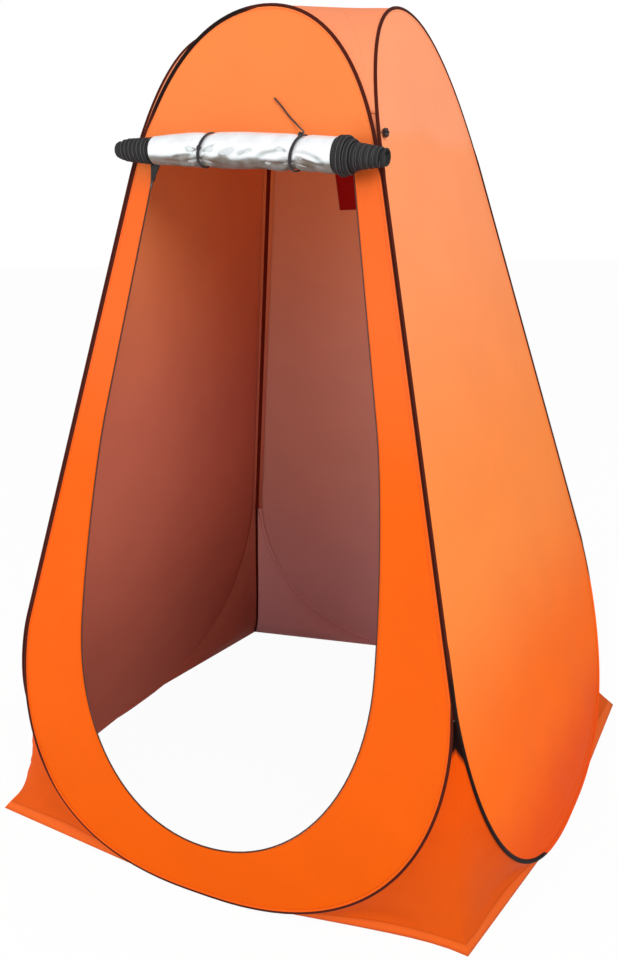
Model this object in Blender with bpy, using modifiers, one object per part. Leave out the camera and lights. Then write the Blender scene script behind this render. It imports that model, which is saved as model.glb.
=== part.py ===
"""Pop-up privacy tent: four sprung hoops in bound cloth panels, a roof, four corner gussets
and a zipped door rolled up above its opening. Metres, +Z up, the door faces -Y."""

import math

import bmesh
import bpy
from mathutils import Matrix, Vector

# Hoops. Heights are measured up the leaning panel, from the middle of the foot.
LEAN = math.radians(13.1)
HOOP_RISE = 1.943
SHOULDER_RISE = 1.582
SHOULDER_HALF_WIDTH = 0.311
KNEE_RISE = 0.540
CROWN_REACH = 0.24
SHOULDER_REACH = 0.04
KNEE_REACH = 0.07
LOBE_REACH = 0.60
FOOT_HALF_WIDTH = 0.03
ARC_STEPS_TOP = 7
ARC_STEPS_BOTTOM = 9

# Sprung wire, its crimp and the bound sleeve round it.
WIRE_RADIUS = 0.0019
WIRE_END_GAP = 0.001
FERRULE_LENGTH = 0.028
FERRULE_SIDES = 12
FERRULE_WALL = 0.00035
FERRULE_CLEARANCE = 0.00025
SLEEVE_RADIUS = 0.0036
SLEEVE_WALL = 0.0006
SLEEVE_SIDES = 8
SLEEVE_FLANGE = 0.0090
FLANGE_WALL = 0.0005

# Cloth.
CLOTH = 0.0010
CLOTH_CLEARANCE = 0.0003
RUNNING_CLEARANCE = 0.0004

# Fold: the right panel swings about the front-right seam and the other two follow it.
FOLD_ANGLE = math.radians(80)
FOLLOWER_RATIO = 1.03

# Door opening, in the front panel.
OPENING_HEAD = 1.635
OPENING_HEAD_RADIUS = 0.030
OPENING_HEAD_CUT = 0.3
OPENING_SIDE_RISE = 1.060
OPENING_SIDE_HALF_WIDTH = 0.349
OPENING_SPLAY = 0.180
OPENING_WIDEST_RISE = 0.560
OPENING_WIDEST = 0.384
OPENING_SIDE_HANDLE = 0.080
OPENING_WIDEST_HANDLE = 0.200
OPENING_SILL = 0.104
OPENING_BOWL_ROUNDNESS = 0.58

# Zip along the opening.
TAPE_OVERLAP = 0.0090
TAPE_THICKNESS = 0.0007
BEAD_GAP = 0.0006
BEAD_WIDTH = 0.0030
BEAD_DEPTH = 0.0022
SLIDER_LENGTH = 0.0110
SLIDER_WALL = 0.0012
SLIDER_POST = 0.0030
SLIDER_OVERHANG = 0.0026
SLIDER_HEAD_GAP = 0.002
PIN_SIDES = 12
PULL_PIN_RADIUS = 0.0008
PULL_EYE_WALL = 0.0010
PULL_EYE_WIDTH = 0.0036
PULL_EYE_SIDES = 16
PULL_NECK_WIDTH = 0.0024
PULL_NECK_THICKNESS = 0.0011
PULL_NECK_LENGTH = 0.0035
PULL_WIDTH = 0.0056
PULL_LENGTH = 0.0240
PULL_THICKNESS = 0.0014
PULL_DROOP = math.radians(7)

# Rolled door. Its own x runs along the roll from the middle, y up the panel, z outward.
ROLL_CENTRE = (0.012, 1.627)
ROLL_TILT = math.radians(-5.0)
ROLL_STANDOFF = 0.0425
ROLL_CLOTH_LEFT = -0.226
ROLL_CLOTH_RIGHT = 0.226
ROLL_BOW = 0.005
ROLL_PROFILE = ((0, 0.031), (0.2, 0.0365), (0.5, 0.038), (1, 0.0365))
ROLL_SIDES = 24
ROLL_RING_PITCH = 0.025
ROLL_END_STEP = 0.0008
ROLL_HEM_RISE = 0.020
ROLL_HEM_SPREAD = 0.35
ROLL_PUCKER = 0.0030
ROLL_PUCKER_PITCH = 0.055
ROLL_PUCKER_START = 0.3
TIE_PINCH = 0.0020
TIE_PINCH_LENGTH = 0.018
COIL_TUBE_RADIUS = 0.0055
COIL_CORE_CLEARANCE = 0.0017
COIL_PITCH = 0.0119
COIL_START_GAP = 0.0012
COIL_STEPS = 24
COIL_SIDES = 6
COIL_LEFT = {"turns": 7, "profile": ((0, 0.031), (0.2, 0.0285), (0.75, 0.0255), (1, 0.020))}
COIL_RIGHT = {"turns": 8, "profile": ((0, 0.041), (0.2, 0.0405), (0.42, 0.027), (1, 0.0185))}

# Ties round the roll, and their loose tails.
TIE_RADIUS = 0.0022
TIE_LEFT_AT = -0.086
TIE_RIGHT_AT = 0.139
TIE_SLANT = 0.27
TIE_SLANT_REACH = 0.03
TIE_SEWN_RISE = 0.034
TIE_SEWN_LENGTH = 0.014
TIE_FIRST_RING = 3
TIE_LAST_RING = 19
TAIL_RADIUS = 0.0017

# Roof and gussets.
ROOF_CENTRE_DROP = 0.006
ROOF_POWER = 3.6
ROOF_ARC_START = 0.34
ROOF_ARC_STEPS = 6
ROOF_RINGS = 5
ROOF_SPLIT = 0.0004
# Where each gusset's tip is pegged, across and along from the tent's middle, and the share of
# the crease's way out to it that a slack gusset makes only near the ground.
FRONT_LEFT_PEG = (-0.651, -0.617)
FRONT_LEFT_SLACK = 0.75
FRONT_RIGHT_PEG = (0.603, -0.600)
FRONT_RIGHT_SLACK = 0.30
BACK_RIGHT_PEG = (0.667, 0.572)
BACK_RIGHT_SLACK = 0.55
BACK_LEFT_PEG = (-0.619, 0.602)
BACK_LEFT_SLACK = 0.20
GUSSET_FLARE = 7.0
GUSSET_ARC_START = 0.90
GUSSET_ARC_END = 0.045
GUSSET_ROWS = 11
GUSSET_COLUMNS = 3

# Seam tape over the back-left corner, pocket and corner toggle.
SEAM_TAPE_FLAP = 0.012
SEAM_TAPE_FOLD = 0.001
SEAM_TAPE_THICKNESS = 0.0008
POCKET_WIDTH = 0.200
POCKET_HEIGHT = 0.140
POCKET_THICKNESS = 0.0024
POCKET_BOTTOM_RISE = 1.514
POCKET_CORNER = 0.008
TOGGLE_ALONG_ARC = 0.26
TOGGLE_RADIUS = 0.0062
TOGGLE_WAIST = 0.0052
TOGGLE_END_RADIUS = 0.0036
TOGGLE_LENGTH = 0.018
TOGGLE_SIDES = 16
TOGGLE_LOOP_RADIUS = 0.0011
TOGGLE_LOOP_STEPS = 8

# Meshes.
MERGE = 0.00001
SMOOTH_ANGLE = math.radians(40)

# Values that follow from the ones above.
PANEL_SPLAY = math.sin(LEAN)
PANEL_REACH = SHOULDER_HALF_WIDTH + SHOULDER_RISE * PANEL_SPLAY
HOOP_SPACING = 2 * SLEEVE_RADIUS + RUNNING_CLEARANCE
SLEEVE_FLAT = SLEEVE_RADIUS * math.cos(math.pi / SLEEVE_SIDES)
CLOTH_FACE = CLOTH / 2
FLANGE_INNER = CLOTH_FACE + CLOTH_CLEARANCE
FLANGE_OUTER = FLANGE_INNER + FLANGE_WALL
PANEL_INSET = SLEEVE_RADIUS - SLEEVE_WALL + CLOTH_CLEARANCE
BEHIND_SLEEVE = SLEEVE_RADIUS + RUNNING_CLEARANCE + CLOTH_FACE
TAPE_BACK = -CLOTH_FACE - CLOTH_CLEARANCE - TAPE_THICKNESS
BEAD_BACK = TAPE_BACK + TAPE_THICKNESS / 2 - BEAD_DEPTH / 2

PAINT = {
    "panel_orange": ((0.93, 0.16, 0.02), 0.55, 0.0),
    "binding_black": ((0.02, 0.012, 0.01), 0.7, 0.0),
    "spring_steel": ((0.35, 0.35, 0.36), 0.35, 1.0),
    "ferrule_brass": ((0.55, 0.42, 0.2), 0.4, 1.0),
    "silver_cloth": ((0.85, 0.87, 0.9), 0.35, 0.3),
    "zip_black": ((0.02, 0.02, 0.024), 0.6, 0.0),
    "zip_metal": ((0.1, 0.1, 0.11), 0.4, 1.0),
    "tie_cord": ((0.03, 0.015, 0.012), 0.8, 0.0),
    "toggle_plastic": ((0.02, 0.012, 0.01), 0.5, 0.0),
    "pocket_red": ((0.16, 0.003, 0.002), 0.8, 0.0),
}


def clear_scene():
    for obj in list(bpy.data.objects):
        bpy.data.objects.remove(obj, do_unlink=True)


def collection(name):
    made = bpy.data.collections.new(name)
    bpy.context.scene.collection.children.link(made)
    return made


def paint(slot):
    if slot in bpy.data.materials:
        return bpy.data.materials[slot]
    colour, roughness, metallic = PAINT[slot]
    made = bpy.data.materials.new(slot)
    made.use_nodes = True
    shader = made.node_tree.nodes["Principled BSDF"]
    shader.inputs["Base Color"].default_value = (*colour, 1)
    shader.inputs["Roughness"].default_value = roughness
    shader.inputs["Metallic"].default_value = metallic
    return made


def add_object(name, data, slot, frame, body):
    """A piece of the tent, placed by frame and carried by the empty on its body's axis."""
    obj = bpy.data.objects.new(name, data)
    data.materials.append(paint(slot))
    PARTS.objects.link(obj)
    obj.parent = body
    obj.matrix_parent_inverse = body.matrix_world.inverted()
    obj.matrix_basis = frame
    return obj


def add_guide(name, data, frame=None):
    """A cutter, a shape to be joined on, or a section: it stays out of the tent itself."""
    obj = bpy.data.objects.new(name, data)
    GUIDES.objects.link(obj)
    obj.matrix_basis = frame or Matrix()
    obj.hide_render = True
    obj.display_type = "WIRE"
    return obj


def add_body(name, place):
    empty = bpy.data.objects.new(name, None)
    empty.empty_display_size = 0.1
    empty.location = place
    PARTS.objects.link(empty)
    bpy.context.view_layer.update()
    return empty


def join_on(obj, other):
    step = obj.modifiers.new("join", "BOOLEAN")
    step.operation = "UNION"
    step.solver = "EXACT"
    step.object = other


def mesh_from(build):
    """A mesh that build makes in a new bmesh, with faces out and round shapes smooth."""
    shape = bmesh.new()
    build(shape)
    bmesh.ops.recalc_face_normals(shape, faces=shape.faces)
    if shape.calc_volume(signed=True) < 0:
        bmesh.ops.reverse_faces(shape, faces=shape.faces)
    data = bpy.data.meshes.new("mesh")
    shape.to_mesh(data)
    shape.free()
    data.shade_smooth()
    data.set_sharp_from_angle(angle=SMOOTH_ANGLE)
    return data


def path_curve(points, closed=False, flat=False):
    data = bpy.data.curves.new("path", "CURVE")
    data.dimensions = "2D" if flat else "3D"
    if flat:
        data.fill_mode = "NONE"
    add_spline(data, points, closed)
    data.use_fill_caps = not closed
    return data


def add_spline(data, points, closed):
    spline = data.splines.new("POLY")
    spline.points.add(len(points) - 1)
    for spot, point in zip(spline.points, points):
        spot.co = (*point, *(0,) * (3 - len(point)), 1)
    spline.use_cyclic_u = closed


def tube(points, radius, closed=False, sides=8):
    data = path_curve(points, closed)
    data.fill_mode = "FULL"
    data.bevel_depth = radius
    data.bevel_resolution = sides // 2 - 2
    return data


def section_guide(name, outline):
    data = bpy.data.curves.new(name, "CURVE")
    data.dimensions = "2D"
    data.fill_mode = "NONE"
    add_spline(data, outline, closed=True)
    return add_guide(name, data)


def swept(points, section, closed):
    data = path_curve(points, closed, flat=True)
    data.bevel_mode = "OBJECT"
    data.bevel_object = section
    return data


def plate(outlines, thickness):
    data = bpy.data.curves.new("plate", "CURVE")
    data.dimensions = "2D"
    data.fill_mode = "BOTH"
    data.extrude = thickness / 2
    for outline in outlines:
        add_spline(data, outline, closed=True)
    return data


def ring_profile(inner, outer, length):
    """The rectangle that a Screw turns into a ring about its own Z."""
    high = length / 2
    corners = ((outer, high), (outer, -high), (inner, -high), (inner, high))

    def build(shape):
        spots = [shape.verts.new((x, 0, z)) for x, z in corners]
        for start, end in zip(spots, spots[1:] + spots[:1]):
            shape.edges.new((start, end))

    return mesh_from(build)


def add_screw(obj, steps):
    turn = obj.modifiers.new("turn", "SCREW")
    turn.axis = "Z"
    turn.steps = steps
    turn.render_steps = steps
    turn.use_merge_vertices = True
    turn.merge_threshold = MERGE


def box_mesh(low, high):
    def build(shape):
        bmesh.ops.create_cube(shape, size=1)
        for vert in shape.verts:
            vert.co = [a + (b - a) * (c + 0.5) for a, b, c in zip(low, high, vert.co)]

    return mesh_from(build)


def rod_mesh(radius, length, sides):
    def build(shape):
        bmesh.ops.create_cone(
            shape, cap_ends=True, segments=sides, radius1=radius, radius2=radius, depth=length
        )

    return mesh_from(build)


def sheet(rows):
    """A sheet through a grid of points, given as rows."""
    across = len(rows[0]) - 1
    down = len(rows) - 1

    def build(shape):
        bmesh.ops.create_grid(shape, x_segments=across, y_segments=down, size=0.5)
        for vert in shape.verts:
            column = round((vert.co.x + 0.5) * across)
            row = round((vert.co.y + 0.5) * down)
            vert.co = rows[row][column]
        bmesh.ops.remove_doubles(shape, verts=shape.verts, dist=MERGE)

    return mesh_from(build)


def add_thickness(obj, thickness):
    wall = obj.modifiers.new("thickness", "SOLIDIFY")
    wall.thickness = thickness
    wall.offset = 0
    wall.use_even_offset = True


def bezier(p0, p1, p2, p3, t):
    s = 1 - t
    return tuple(
        s**3 * a + 3 * s * s * t * b + 3 * s * t * t * c + t**3 * d for a, b, c, d in zip(p0, p1, p2, p3)
    )


def bezier_slope(p0, p1, p2, p3, t):
    s = 1 - t
    return tuple(
        3 * s * s * (b - a) + 6 * s * t * (c - b) + 3 * t * t * (d - c) for a, b, c, d in zip(p0, p1, p2, p3)
    )


def seam_half_width(rise):
    return SHOULDER_HALF_WIDTH + (SHOULDER_RISE - rise) * PANEL_SPLAY


KNEE = (seam_half_width(KNEE_RISE), KNEE_RISE)
SHOULDER = (SHOULDER_HALF_WIDTH, SHOULDER_RISE)
LOWER_ARC = (
    (FOOT_HALF_WIDTH, 0),
    (LOBE_REACH, 0),
    (KNEE[0] + KNEE_REACH * PANEL_SPLAY, KNEE[1] - KNEE_REACH),
    KNEE,
)
UPPER_ARC = (
    SHOULDER,
    (SHOULDER[0] - SHOULDER_REACH * PANEL_SPLAY, SHOULDER[1] + SHOULDER_REACH),
    (CROWN_REACH, HOOP_RISE),
    (0, HOOP_RISE),
)


def arc_point(arc, t, inset=0.0):
    """A point of the hoop's right half, moved towards the hoop's middle by inset."""
    x, y = bezier(*arc, t)
    along_x, along_y = bezier_slope(*arc, t)
    length = math.hypot(along_x, along_y)
    return (x - inset * along_y / length, y + inset * along_x / length)


def hoop_half(inset=0.0):
    """The right half of the hoop, from the foot up to the crown."""
    made = []
    for arc, steps in ((LOWER_ARC, ARC_STEPS_BOTTOM), (UPPER_ARC, ARC_STEPS_TOP)):
        made += [arc_point(arc, i / steps, inset) for i in range(steps + 1)]
    return made


def hoop_outline(inset=0.0):
    half = hoop_half(inset)
    return half + [(-x, y) for x, y in reversed(half[:-1])]


def opening_half():
    """The right half of the door opening, from the head down to the sill."""
    lean = math.hypot(1, OPENING_SPLAY)
    start = OPENING_SIDE_HALF_WIDTH - (OPENING_HEAD - OPENING_SIDE_RISE) * OPENING_SPLAY
    radius = OPENING_HEAD_RADIUS
    cut = radius * OPENING_HEAD_CUT
    corner = [
        (start - radius, OPENING_HEAD),
        (start - cut, OPENING_HEAD - cut),
        (start + radius * OPENING_SPLAY / lean, OPENING_HEAD - radius / lean),
    ]
    side = (OPENING_SIDE_HALF_WIDTH, OPENING_SIDE_RISE)
    widest = (OPENING_WIDEST, OPENING_WIDEST_RISE)
    below = (side[0] + OPENING_SIDE_HANDLE * OPENING_SPLAY, side[1] - OPENING_SIDE_HANDLE)
    knee = (side, below, (widest[0], widest[1] + OPENING_WIDEST_HANDLE), widest)
    depth = OPENING_WIDEST_RISE - OPENING_SILL
    bowl = (
        widest,
        (widest[0], widest[1] - OPENING_BOWL_ROUNDNESS * depth),
        (OPENING_BOWL_ROUNDNESS * widest[0], OPENING_SILL),
        (0, OPENING_SILL),
    )
    points = corner + [bezier(*knee, i / 4) for i in range(5)]
    return points + [bezier(*bowl, i / 8) for i in range(1, 9)]


def opening_outline():
    half = opening_half()
    return [(-x, y) for x, y in half] + list(reversed(half[:-1]))


def seam_side(side):
    """Seam direction, outward in the panel's plane and inward of the panel, for its right or left seam."""
    length = math.hypot(1, PANEL_SPLAY)
    down = Vector((side * PANEL_SPLAY, -1, 0)) / length
    outward = Vector((side, PANEL_SPLAY, 0)) / length
    return down, outward, Vector((0, 0, -1))


def seam_step(side):
    """From a hoop to the one beside it across a seam: one spacing away, at the same height."""
    down, outward, inward = seam_side(side)
    swing = math.pi / 2 - FOLD_ANGLE * FOLLOWER_RATIO
    step = HOOP_SPACING * (math.cos(swing) * outward + math.sin(swing) * inward)
    rise = TILT.to_3x3() @ step
    drop = TILT.to_3x3() @ down
    return step - down * (rise.z / drop.z)


TILT = Matrix.Rotation(math.pi / 2 - LEAN, 4, "X")


def panel_frame(turn, shift):
    """The frame of one panel: x along its foot, y up its slope, z outward."""
    at = Matrix.Translation((0, -PANEL_REACH, SLEEVE_FLAT))
    return Matrix.Translation(shift) @ Matrix.Rotation(turn, 4, "Z") @ at @ TILT


def place_panels():
    """Frames of the four panels, each set beside the one that it is hinged to."""
    flat = [Matrix.Rotation(turn, 4, "Z") @ TILT for turn in (0, math.pi / 2)]
    to_right = flat[0] @ seam_step(1)
    to_left = flat[0] @ seam_step(-1)
    to_back = to_right + flat[1] @ seam_step(1)
    middle = Vector((0, -to_back.y / 2, 0))
    return {
        "front": panel_frame(0, middle),
        "right": panel_frame(math.pi / 2, middle + to_right),
        "back": panel_frame(math.pi, middle + to_back),
        "left": panel_frame(-math.pi / 2, middle + to_left),
    }


def seam_point(panel, side, rise, inset=0.0, behind=0.0):
    return FRAMES[panel] @ Vector((side * (seam_half_width(rise) - inset), rise, -behind))


def sleeve_section():
    """The bound sleeve, x towards the hoop's middle: a ring with two flanges that hold the cloth."""
    step = 2 * math.pi / SLEEVE_SIDES
    angles = [step * (k + 0.5) - LEAN for k in range(-3, 4)]
    outer = [(-SLEEVE_RADIUS * math.cos(a), SLEEVE_RADIUS * math.sin(a)) for a in angles]
    bore = SLEEVE_RADIUS - SLEEVE_WALL
    inner = [(-bore * math.cos(a), bore * math.sin(a)) for a in angles]
    lower = [(SLEEVE_FLANGE, -FLANGE_INNER), (SLEEVE_FLANGE, -FLANGE_OUTER)]
    upper = [(SLEEVE_FLANGE, FLANGE_OUTER), (SLEEVE_FLANGE, FLANGE_INNER)]
    return lower + outer + upper + list(reversed(inner))


def tape_section():
    """The zip's tape on the panel's inner face, and its bead: x away from the opening, y outward."""
    bead = -BEAD_GAP - BEAD_WIDTH
    return [
        (TAPE_OVERLAP, TAPE_BACK),
        (-BEAD_GAP, TAPE_BACK),
        (-BEAD_GAP, BEAD_BACK),
        (bead, BEAD_BACK),
        (bead, BEAD_BACK + BEAD_DEPTH),
        (-BEAD_GAP, BEAD_BACK + BEAD_DEPTH),
        (-BEAD_GAP, TAPE_BACK + TAPE_THICKNESS),
        (TAPE_OVERLAP, TAPE_BACK + TAPE_THICKNESS),
    ]


def make_panel(name, body, openings=()):
    data = plate([hoop_outline(PANEL_INSET), *openings], CLOTH)
    add_object(f"{name}_panel", data, "panel_orange", FRAMES[name], body)


def make_hoop(name, body, sleeve_guide):
    """The sleeve, the sprung wire in it, and the crimp that joins the wire's ends at the foot."""
    sleeve = swept(hoop_outline(), sleeve_guide, closed=True)
    add_object(f"{name}_sleeve", sleeve, "binding_black", FRAMES[name], body)
    half_gap = WIRE_END_GAP / 2
    wire = tube([(half_gap, 0), *hoop_outline(), (-half_gap, 0)], WIRE_RADIUS, sides=6)
    add_object(f"{name}_hoop", wire, "spring_steel", FRAMES[name], body)
    bore = WIRE_RADIUS + FERRULE_CLEARANCE
    ring = ring_profile(bore, bore + FERRULE_WALL, FERRULE_LENGTH)
    along = FRAMES[name] @ Matrix.Rotation(math.pi / 2, 4, "Y")
    add_screw(add_object(f"{name}_ferrule", ring, "ferrule_brass", along, body), FERRULE_SIDES)


def make_opening_zip(body):
    guide = section_guide("tape_section", tape_section())
    tape = swept(opening_outline(), guide, closed=False)
    add_object("opening_zip", tape, "zip_black", FRAMES["front"], body)


def slider_frame():
    """On the left edge of the opening, x towards the opening, y up along the edge, z outward."""
    rise = OPENING_HEAD - OPENING_HEAD_RADIUS - SLIDER_LENGTH / 2 - SLIDER_HEAD_GAP
    half_width = OPENING_SIDE_HALF_WIDTH - (rise - OPENING_SIDE_RISE) * OPENING_SPLAY
    spot = Matrix.Translation((-half_width, rise, 0))
    return FRAMES["front"] @ spot @ Matrix.Rotation(-math.atan(OPENING_SPLAY), 4, "Z")


def make_zip_slider():
    """The slider round the bead, and the pull that hangs from its bridge."""
    frame = slider_frame()
    body = add_body("zip_slider_axis", frame.translation)
    low = BEAD_BACK - RUNNING_CLEARANCE
    high = BEAD_BACK + BEAD_DEPTH + RUNNING_CLEARANCE
    wall = BEAD_GAP + BEAD_WIDTH + RUNNING_CLEARANCE
    right = wall + SLIDER_POST
    section = [
        (BEAD_GAP, high),
        (wall, high),
        (wall, low),
        (-SLIDER_OVERHANG, low),
        (-SLIDER_OVERHANG, low - SLIDER_WALL),
        (right, low - SLIDER_WALL),
        (right, high + SLIDER_WALL),
        (BEAD_GAP, high + SLIDER_WALL),
    ]
    upright = Matrix.Rotation(math.pi / 2, 4, "X")
    channel = plate([section], SLIDER_LENGTH)
    shell = mesh_from_curve(channel, upright)
    slider = add_object("zip_slider", shell, "zip_metal", frame, body)
    top = high + SLIDER_WALL
    eye = PULL_PIN_RADIUS + RUNNING_CLEARANCE + PULL_EYE_WALL
    pin_height = top + RUNNING_CLEARANCE + eye
    middle = (right + BEAD_GAP) / 2
    half_gap = PULL_EYE_WIDTH / 2 + RUNNING_CLEARANCE
    for side in (-1, 1):
        near = middle + side * half_gap
        far = near + side * SLIDER_WALL
        low_x, high_x = min(near, far), max(near, far)
        reach = 2 * PULL_PIN_RADIUS
        lug = box_mesh((low_x, -reach, top - SLIDER_WALL / 2), (high_x, reach, pin_height + reach))
        join_on(slider, add_guide(f"slider_lug_{'left' if side < 0 else 'right'}", lug, frame))
    pin_at = Matrix.Translation((middle, 0, pin_height))
    across = Matrix.Rotation(math.pi / 2, 4, "Y")
    pin = rod_mesh(PULL_PIN_RADIUS, 2 * half_gap + SLIDER_WALL, PIN_SIDES)
    join_on(slider, add_guide("slider_pin", pin, frame @ pin_at @ across))
    make_zip_pull(frame @ pin_at, eye)


def make_zip_pull(frame, eye):
    body = add_body("zip_pull_axis", frame.translation)
    hang = frame @ Matrix.Rotation(PULL_DROOP, 4, "X")
    bore = PULL_PIN_RADIUS + RUNNING_CLEARANCE
    ring = ring_profile(bore, eye, PULL_EYE_WIDTH)
    pull = add_object("zip_pull", ring, "zip_metal", hang @ Matrix.Rotation(math.pi / 2, 4, "Y"), body)
    add_screw(pull, PULL_EYE_SIDES)
    start = bore + PULL_EYE_WALL / 2
    neck_end = eye + PULL_NECK_LENGTH
    side, depth = PULL_NECK_WIDTH / 2, PULL_NECK_THICKNESS / 2
    neck = box_mesh((-side, -neck_end, -depth), (side, -start, depth))
    join_on(pull, add_guide("pull_neck", neck, hang))
    half = PULL_THICKNESS / 2
    tab = box_mesh((-PULL_WIDTH / 2, -PULL_LENGTH, -half), (PULL_WIDTH / 2, -neck_end + half, half))
    join_on(pull, add_guide("pull_tab", tab, hang))


def mesh_from_curve(data, turn):
    """The closed mesh of a curve, turned, with its loose caps joined on."""
    temporary = bpy.data.objects.new("temporary", data)
    GUIDES.objects.link(temporary)
    bpy.context.view_layer.update()
    evaluated = temporary.evaluated_get(bpy.context.evaluated_depsgraph_get())
    made = bpy.data.meshes.new_from_object(evaluated)
    bpy.data.objects.remove(temporary)
    shape = bmesh.new()
    shape.from_mesh(made)
    bmesh.ops.remove_doubles(shape, verts=shape.verts, dist=MERGE)
    shape.transform(turn)
    shape.to_mesh(made)
    shape.free()
    return made


def roll_frame():
    spot = Matrix.Translation((*ROLL_CENTRE, ROLL_STANDOFF))
    return FRAMES["front"] @ spot @ Matrix.Rotation(ROLL_TILT, 4, "Z")


def roll_hem(x):
    """Where the door's hem meets the panel above the opening: its angle round the roll and distance."""
    rise = OPENING_HEAD + ROLL_HEM_RISE - (ROLL_CENTRE[1] + x * math.sin(ROLL_TILT))
    back = ROLL_STANDOFF - CLOTH_FACE - CLOTH_CLEARANCE
    return math.atan2(rise, -back), math.hypot(rise, back)


def profile_value(profile, share):
    """The value at share, in straight lines between the profile's own (share, value) pairs."""
    for (start, low), (end, high) in zip(profile, profile[1:]):
        if share <= end:
            return low + (high - low) * (share - start) / (end - start)
    return profile[-1][1]


def roll_sag(x):
    """How far the roll's middle line drops below its tangent at the middle."""
    return ROLL_BOW * min(1.0, (x / ROLL_CLOTH_RIGHT) ** 2)


def roll_radius(x, angle):
    """Radius of the rolled cloth at x along it, angle measured from outward towards up."""
    share = (x - ROLL_CLOTH_LEFT) / (ROLL_CLOTH_RIGHT - ROLL_CLOTH_LEFT)
    radius = profile_value(ROLL_PROFILE, share)
    below = max(0.0, -math.sin(angle + ROLL_PUCKER_START))
    wave = math.sin(2 * math.pi * x / ROLL_PUCKER_PITCH + 2 * math.sin(angle))
    radius += ROLL_PUCKER * wave * below
    for tie in (TIE_LEFT_AT, TIE_RIGHT_AT):
        radius -= TIE_PINCH * math.exp(-(((x - tie) / TIE_PINCH_LENGTH) ** 2))
    hem_angle, hem_distance = roll_hem(x)
    turn = math.remainder(angle - hem_angle, 2 * math.pi)
    return radius + (hem_distance - radius) * math.exp(-((turn / ROLL_HEM_SPREAD) ** 2))


def roll_point(x, angle, radius):
    """A point round the roll, slanted with the ties where one pulls the cloth in."""
    ties = (TIE_LEFT_AT, TIE_RIGHT_AT)
    slant = TIE_SLANT * sum(math.exp(-(((x - tie) / TIE_SLANT_REACH) ** 2)) for tie in ties)
    rise = radius * math.sin(angle)
    outward = max(radius * math.cos(angle), CLOTH_FACE + CLOTH_CLEARANCE - ROLL_STANDOFF)
    return Vector((x + slant * rise, rise - roll_sag(x), outward))


def coil_span(coil):
    return (coil["turns"] + 1) * COIL_PITCH


def roll_stations():
    """Places of the rings along the roll: its two cores, and the cloth with a ring under each tie."""
    left, right = coil_span(COIL_LEFT), coil_span(COIL_RIGHT)
    left_core = [ROLL_CLOTH_LEFT - left * share for share, _ in COIL_LEFT["profile"][1:]]
    right_core = [ROLL_CLOTH_RIGHT + right * share for share, _ in COIL_RIGHT["profile"][1:]]
    marks = (ROLL_CLOTH_LEFT, TIE_LEFT_AT, TIE_RIGHT_AT, ROLL_CLOTH_RIGHT)
    cloth = []
    for start, end in zip(marks, marks[1:]):
        count = round((end - start) / ROLL_RING_PITCH)
        cloth += [start + (end - start) * i / count for i in range(count)]
    cloth.append(ROLL_CLOTH_RIGHT)
    left_step, right_step = ROLL_CLOTH_LEFT - ROLL_END_STEP, ROLL_CLOTH_RIGHT + ROLL_END_STEP
    return [*reversed(left_core), left_step, *cloth, right_step, *right_core]


def make_door_roll(body):
    """The rolled cloth, with a plain core at each end for the wound zip."""
    stations = roll_stations()

    def core_radius(coil, along):
        wound = profile_value(coil["profile"], along / coil_span(coil))
        return wound - 2 * COIL_TUBE_RADIUS - COIL_CORE_CLEARANCE

    def radius_at(x, angle):
        if x < ROLL_CLOTH_LEFT:
            return core_radius(COIL_LEFT, ROLL_CLOTH_LEFT - x)
        if x > ROLL_CLOTH_RIGHT:
            return core_radius(COIL_RIGHT, x - ROLL_CLOTH_RIGHT)
        return roll_radius(x, angle)

    def build(shape):
        bmesh.ops.create_cone(
            shape, cap_ends=True, segments=ROLL_SIDES, radius1=1, radius2=1, depth=len(stations) - 1
        )
        low = -(len(stations) - 1) / 2
        for cut in range(1, len(stations) - 1):
            geom = shape.verts[:] + shape.edges[:] + shape.faces[:]
            bmesh.ops.bisect_plane(shape, geom=geom, plane_co=(0, 0, low + cut), plane_no=(0, 0, 1))
        for vert in shape.verts:
            x = stations[round(vert.co.z - low)]
            column = math.atan2(vert.co.y, vert.co.x)
            angle = roll_hem(x)[0] + column
            vert.co = roll_point(x, angle, radius_at(x, angle))

    add_object("door_roll", mesh_from(build), "silver_cloth", roll_frame(), body)


def coil_points(coil, start, direction):
    """The zip tape's edge, wound on the end of the roll: one helix that narrows to the tip."""
    count = coil["turns"] * COIL_STEPS
    points = []
    for i in range(count + 1):
        along = COIL_TUBE_RADIUS + COIL_START_GAP + COIL_PITCH * i / COIL_STEPS
        radius = profile_value(coil["profile"], along / coil_span(coil)) - COIL_TUBE_RADIUS
        angle = 2 * math.pi * i / COIL_STEPS
        x = start + direction * along
        points.append(Vector((x, radius * math.sin(angle) - ROLL_BOW, radius * math.cos(angle))))
    lead = (points[0] - points[1]).normalized() * 2 * COIL_TUBE_RADIUS
    tail = (points[-1] - points[-2]).normalized() * 2 * COIL_TUBE_RADIUS
    return [points[0] + lead] + points + [points[-1] + tail]


def print_least_gap(name, points, radius, lap):
    gap = min(
        (first - second).length
        for i, first in enumerate(points)
        for second in points[i + lap:]
    )
    print(f"{name}: least gap to itself {(gap - 2 * radius) * 1000:.2f} mm")


def make_roll_zips(body):
    ends = (
        ("roll_zip_left", COIL_LEFT, ROLL_CLOTH_LEFT, -1),
        ("roll_zip_right", COIL_RIGHT, ROLL_CLOTH_RIGHT, 1),
    )
    for name, coil, start, direction in ends:
        points = coil_points(coil, start, direction)
        print_least_gap(name, points, COIL_TUBE_RADIUS, COIL_STEPS // 2)
        wound = tube(points, COIL_TUBE_RADIUS, sides=COIL_SIDES)
        add_object(name, wound, "zip_black", roll_frame(), body)


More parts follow.
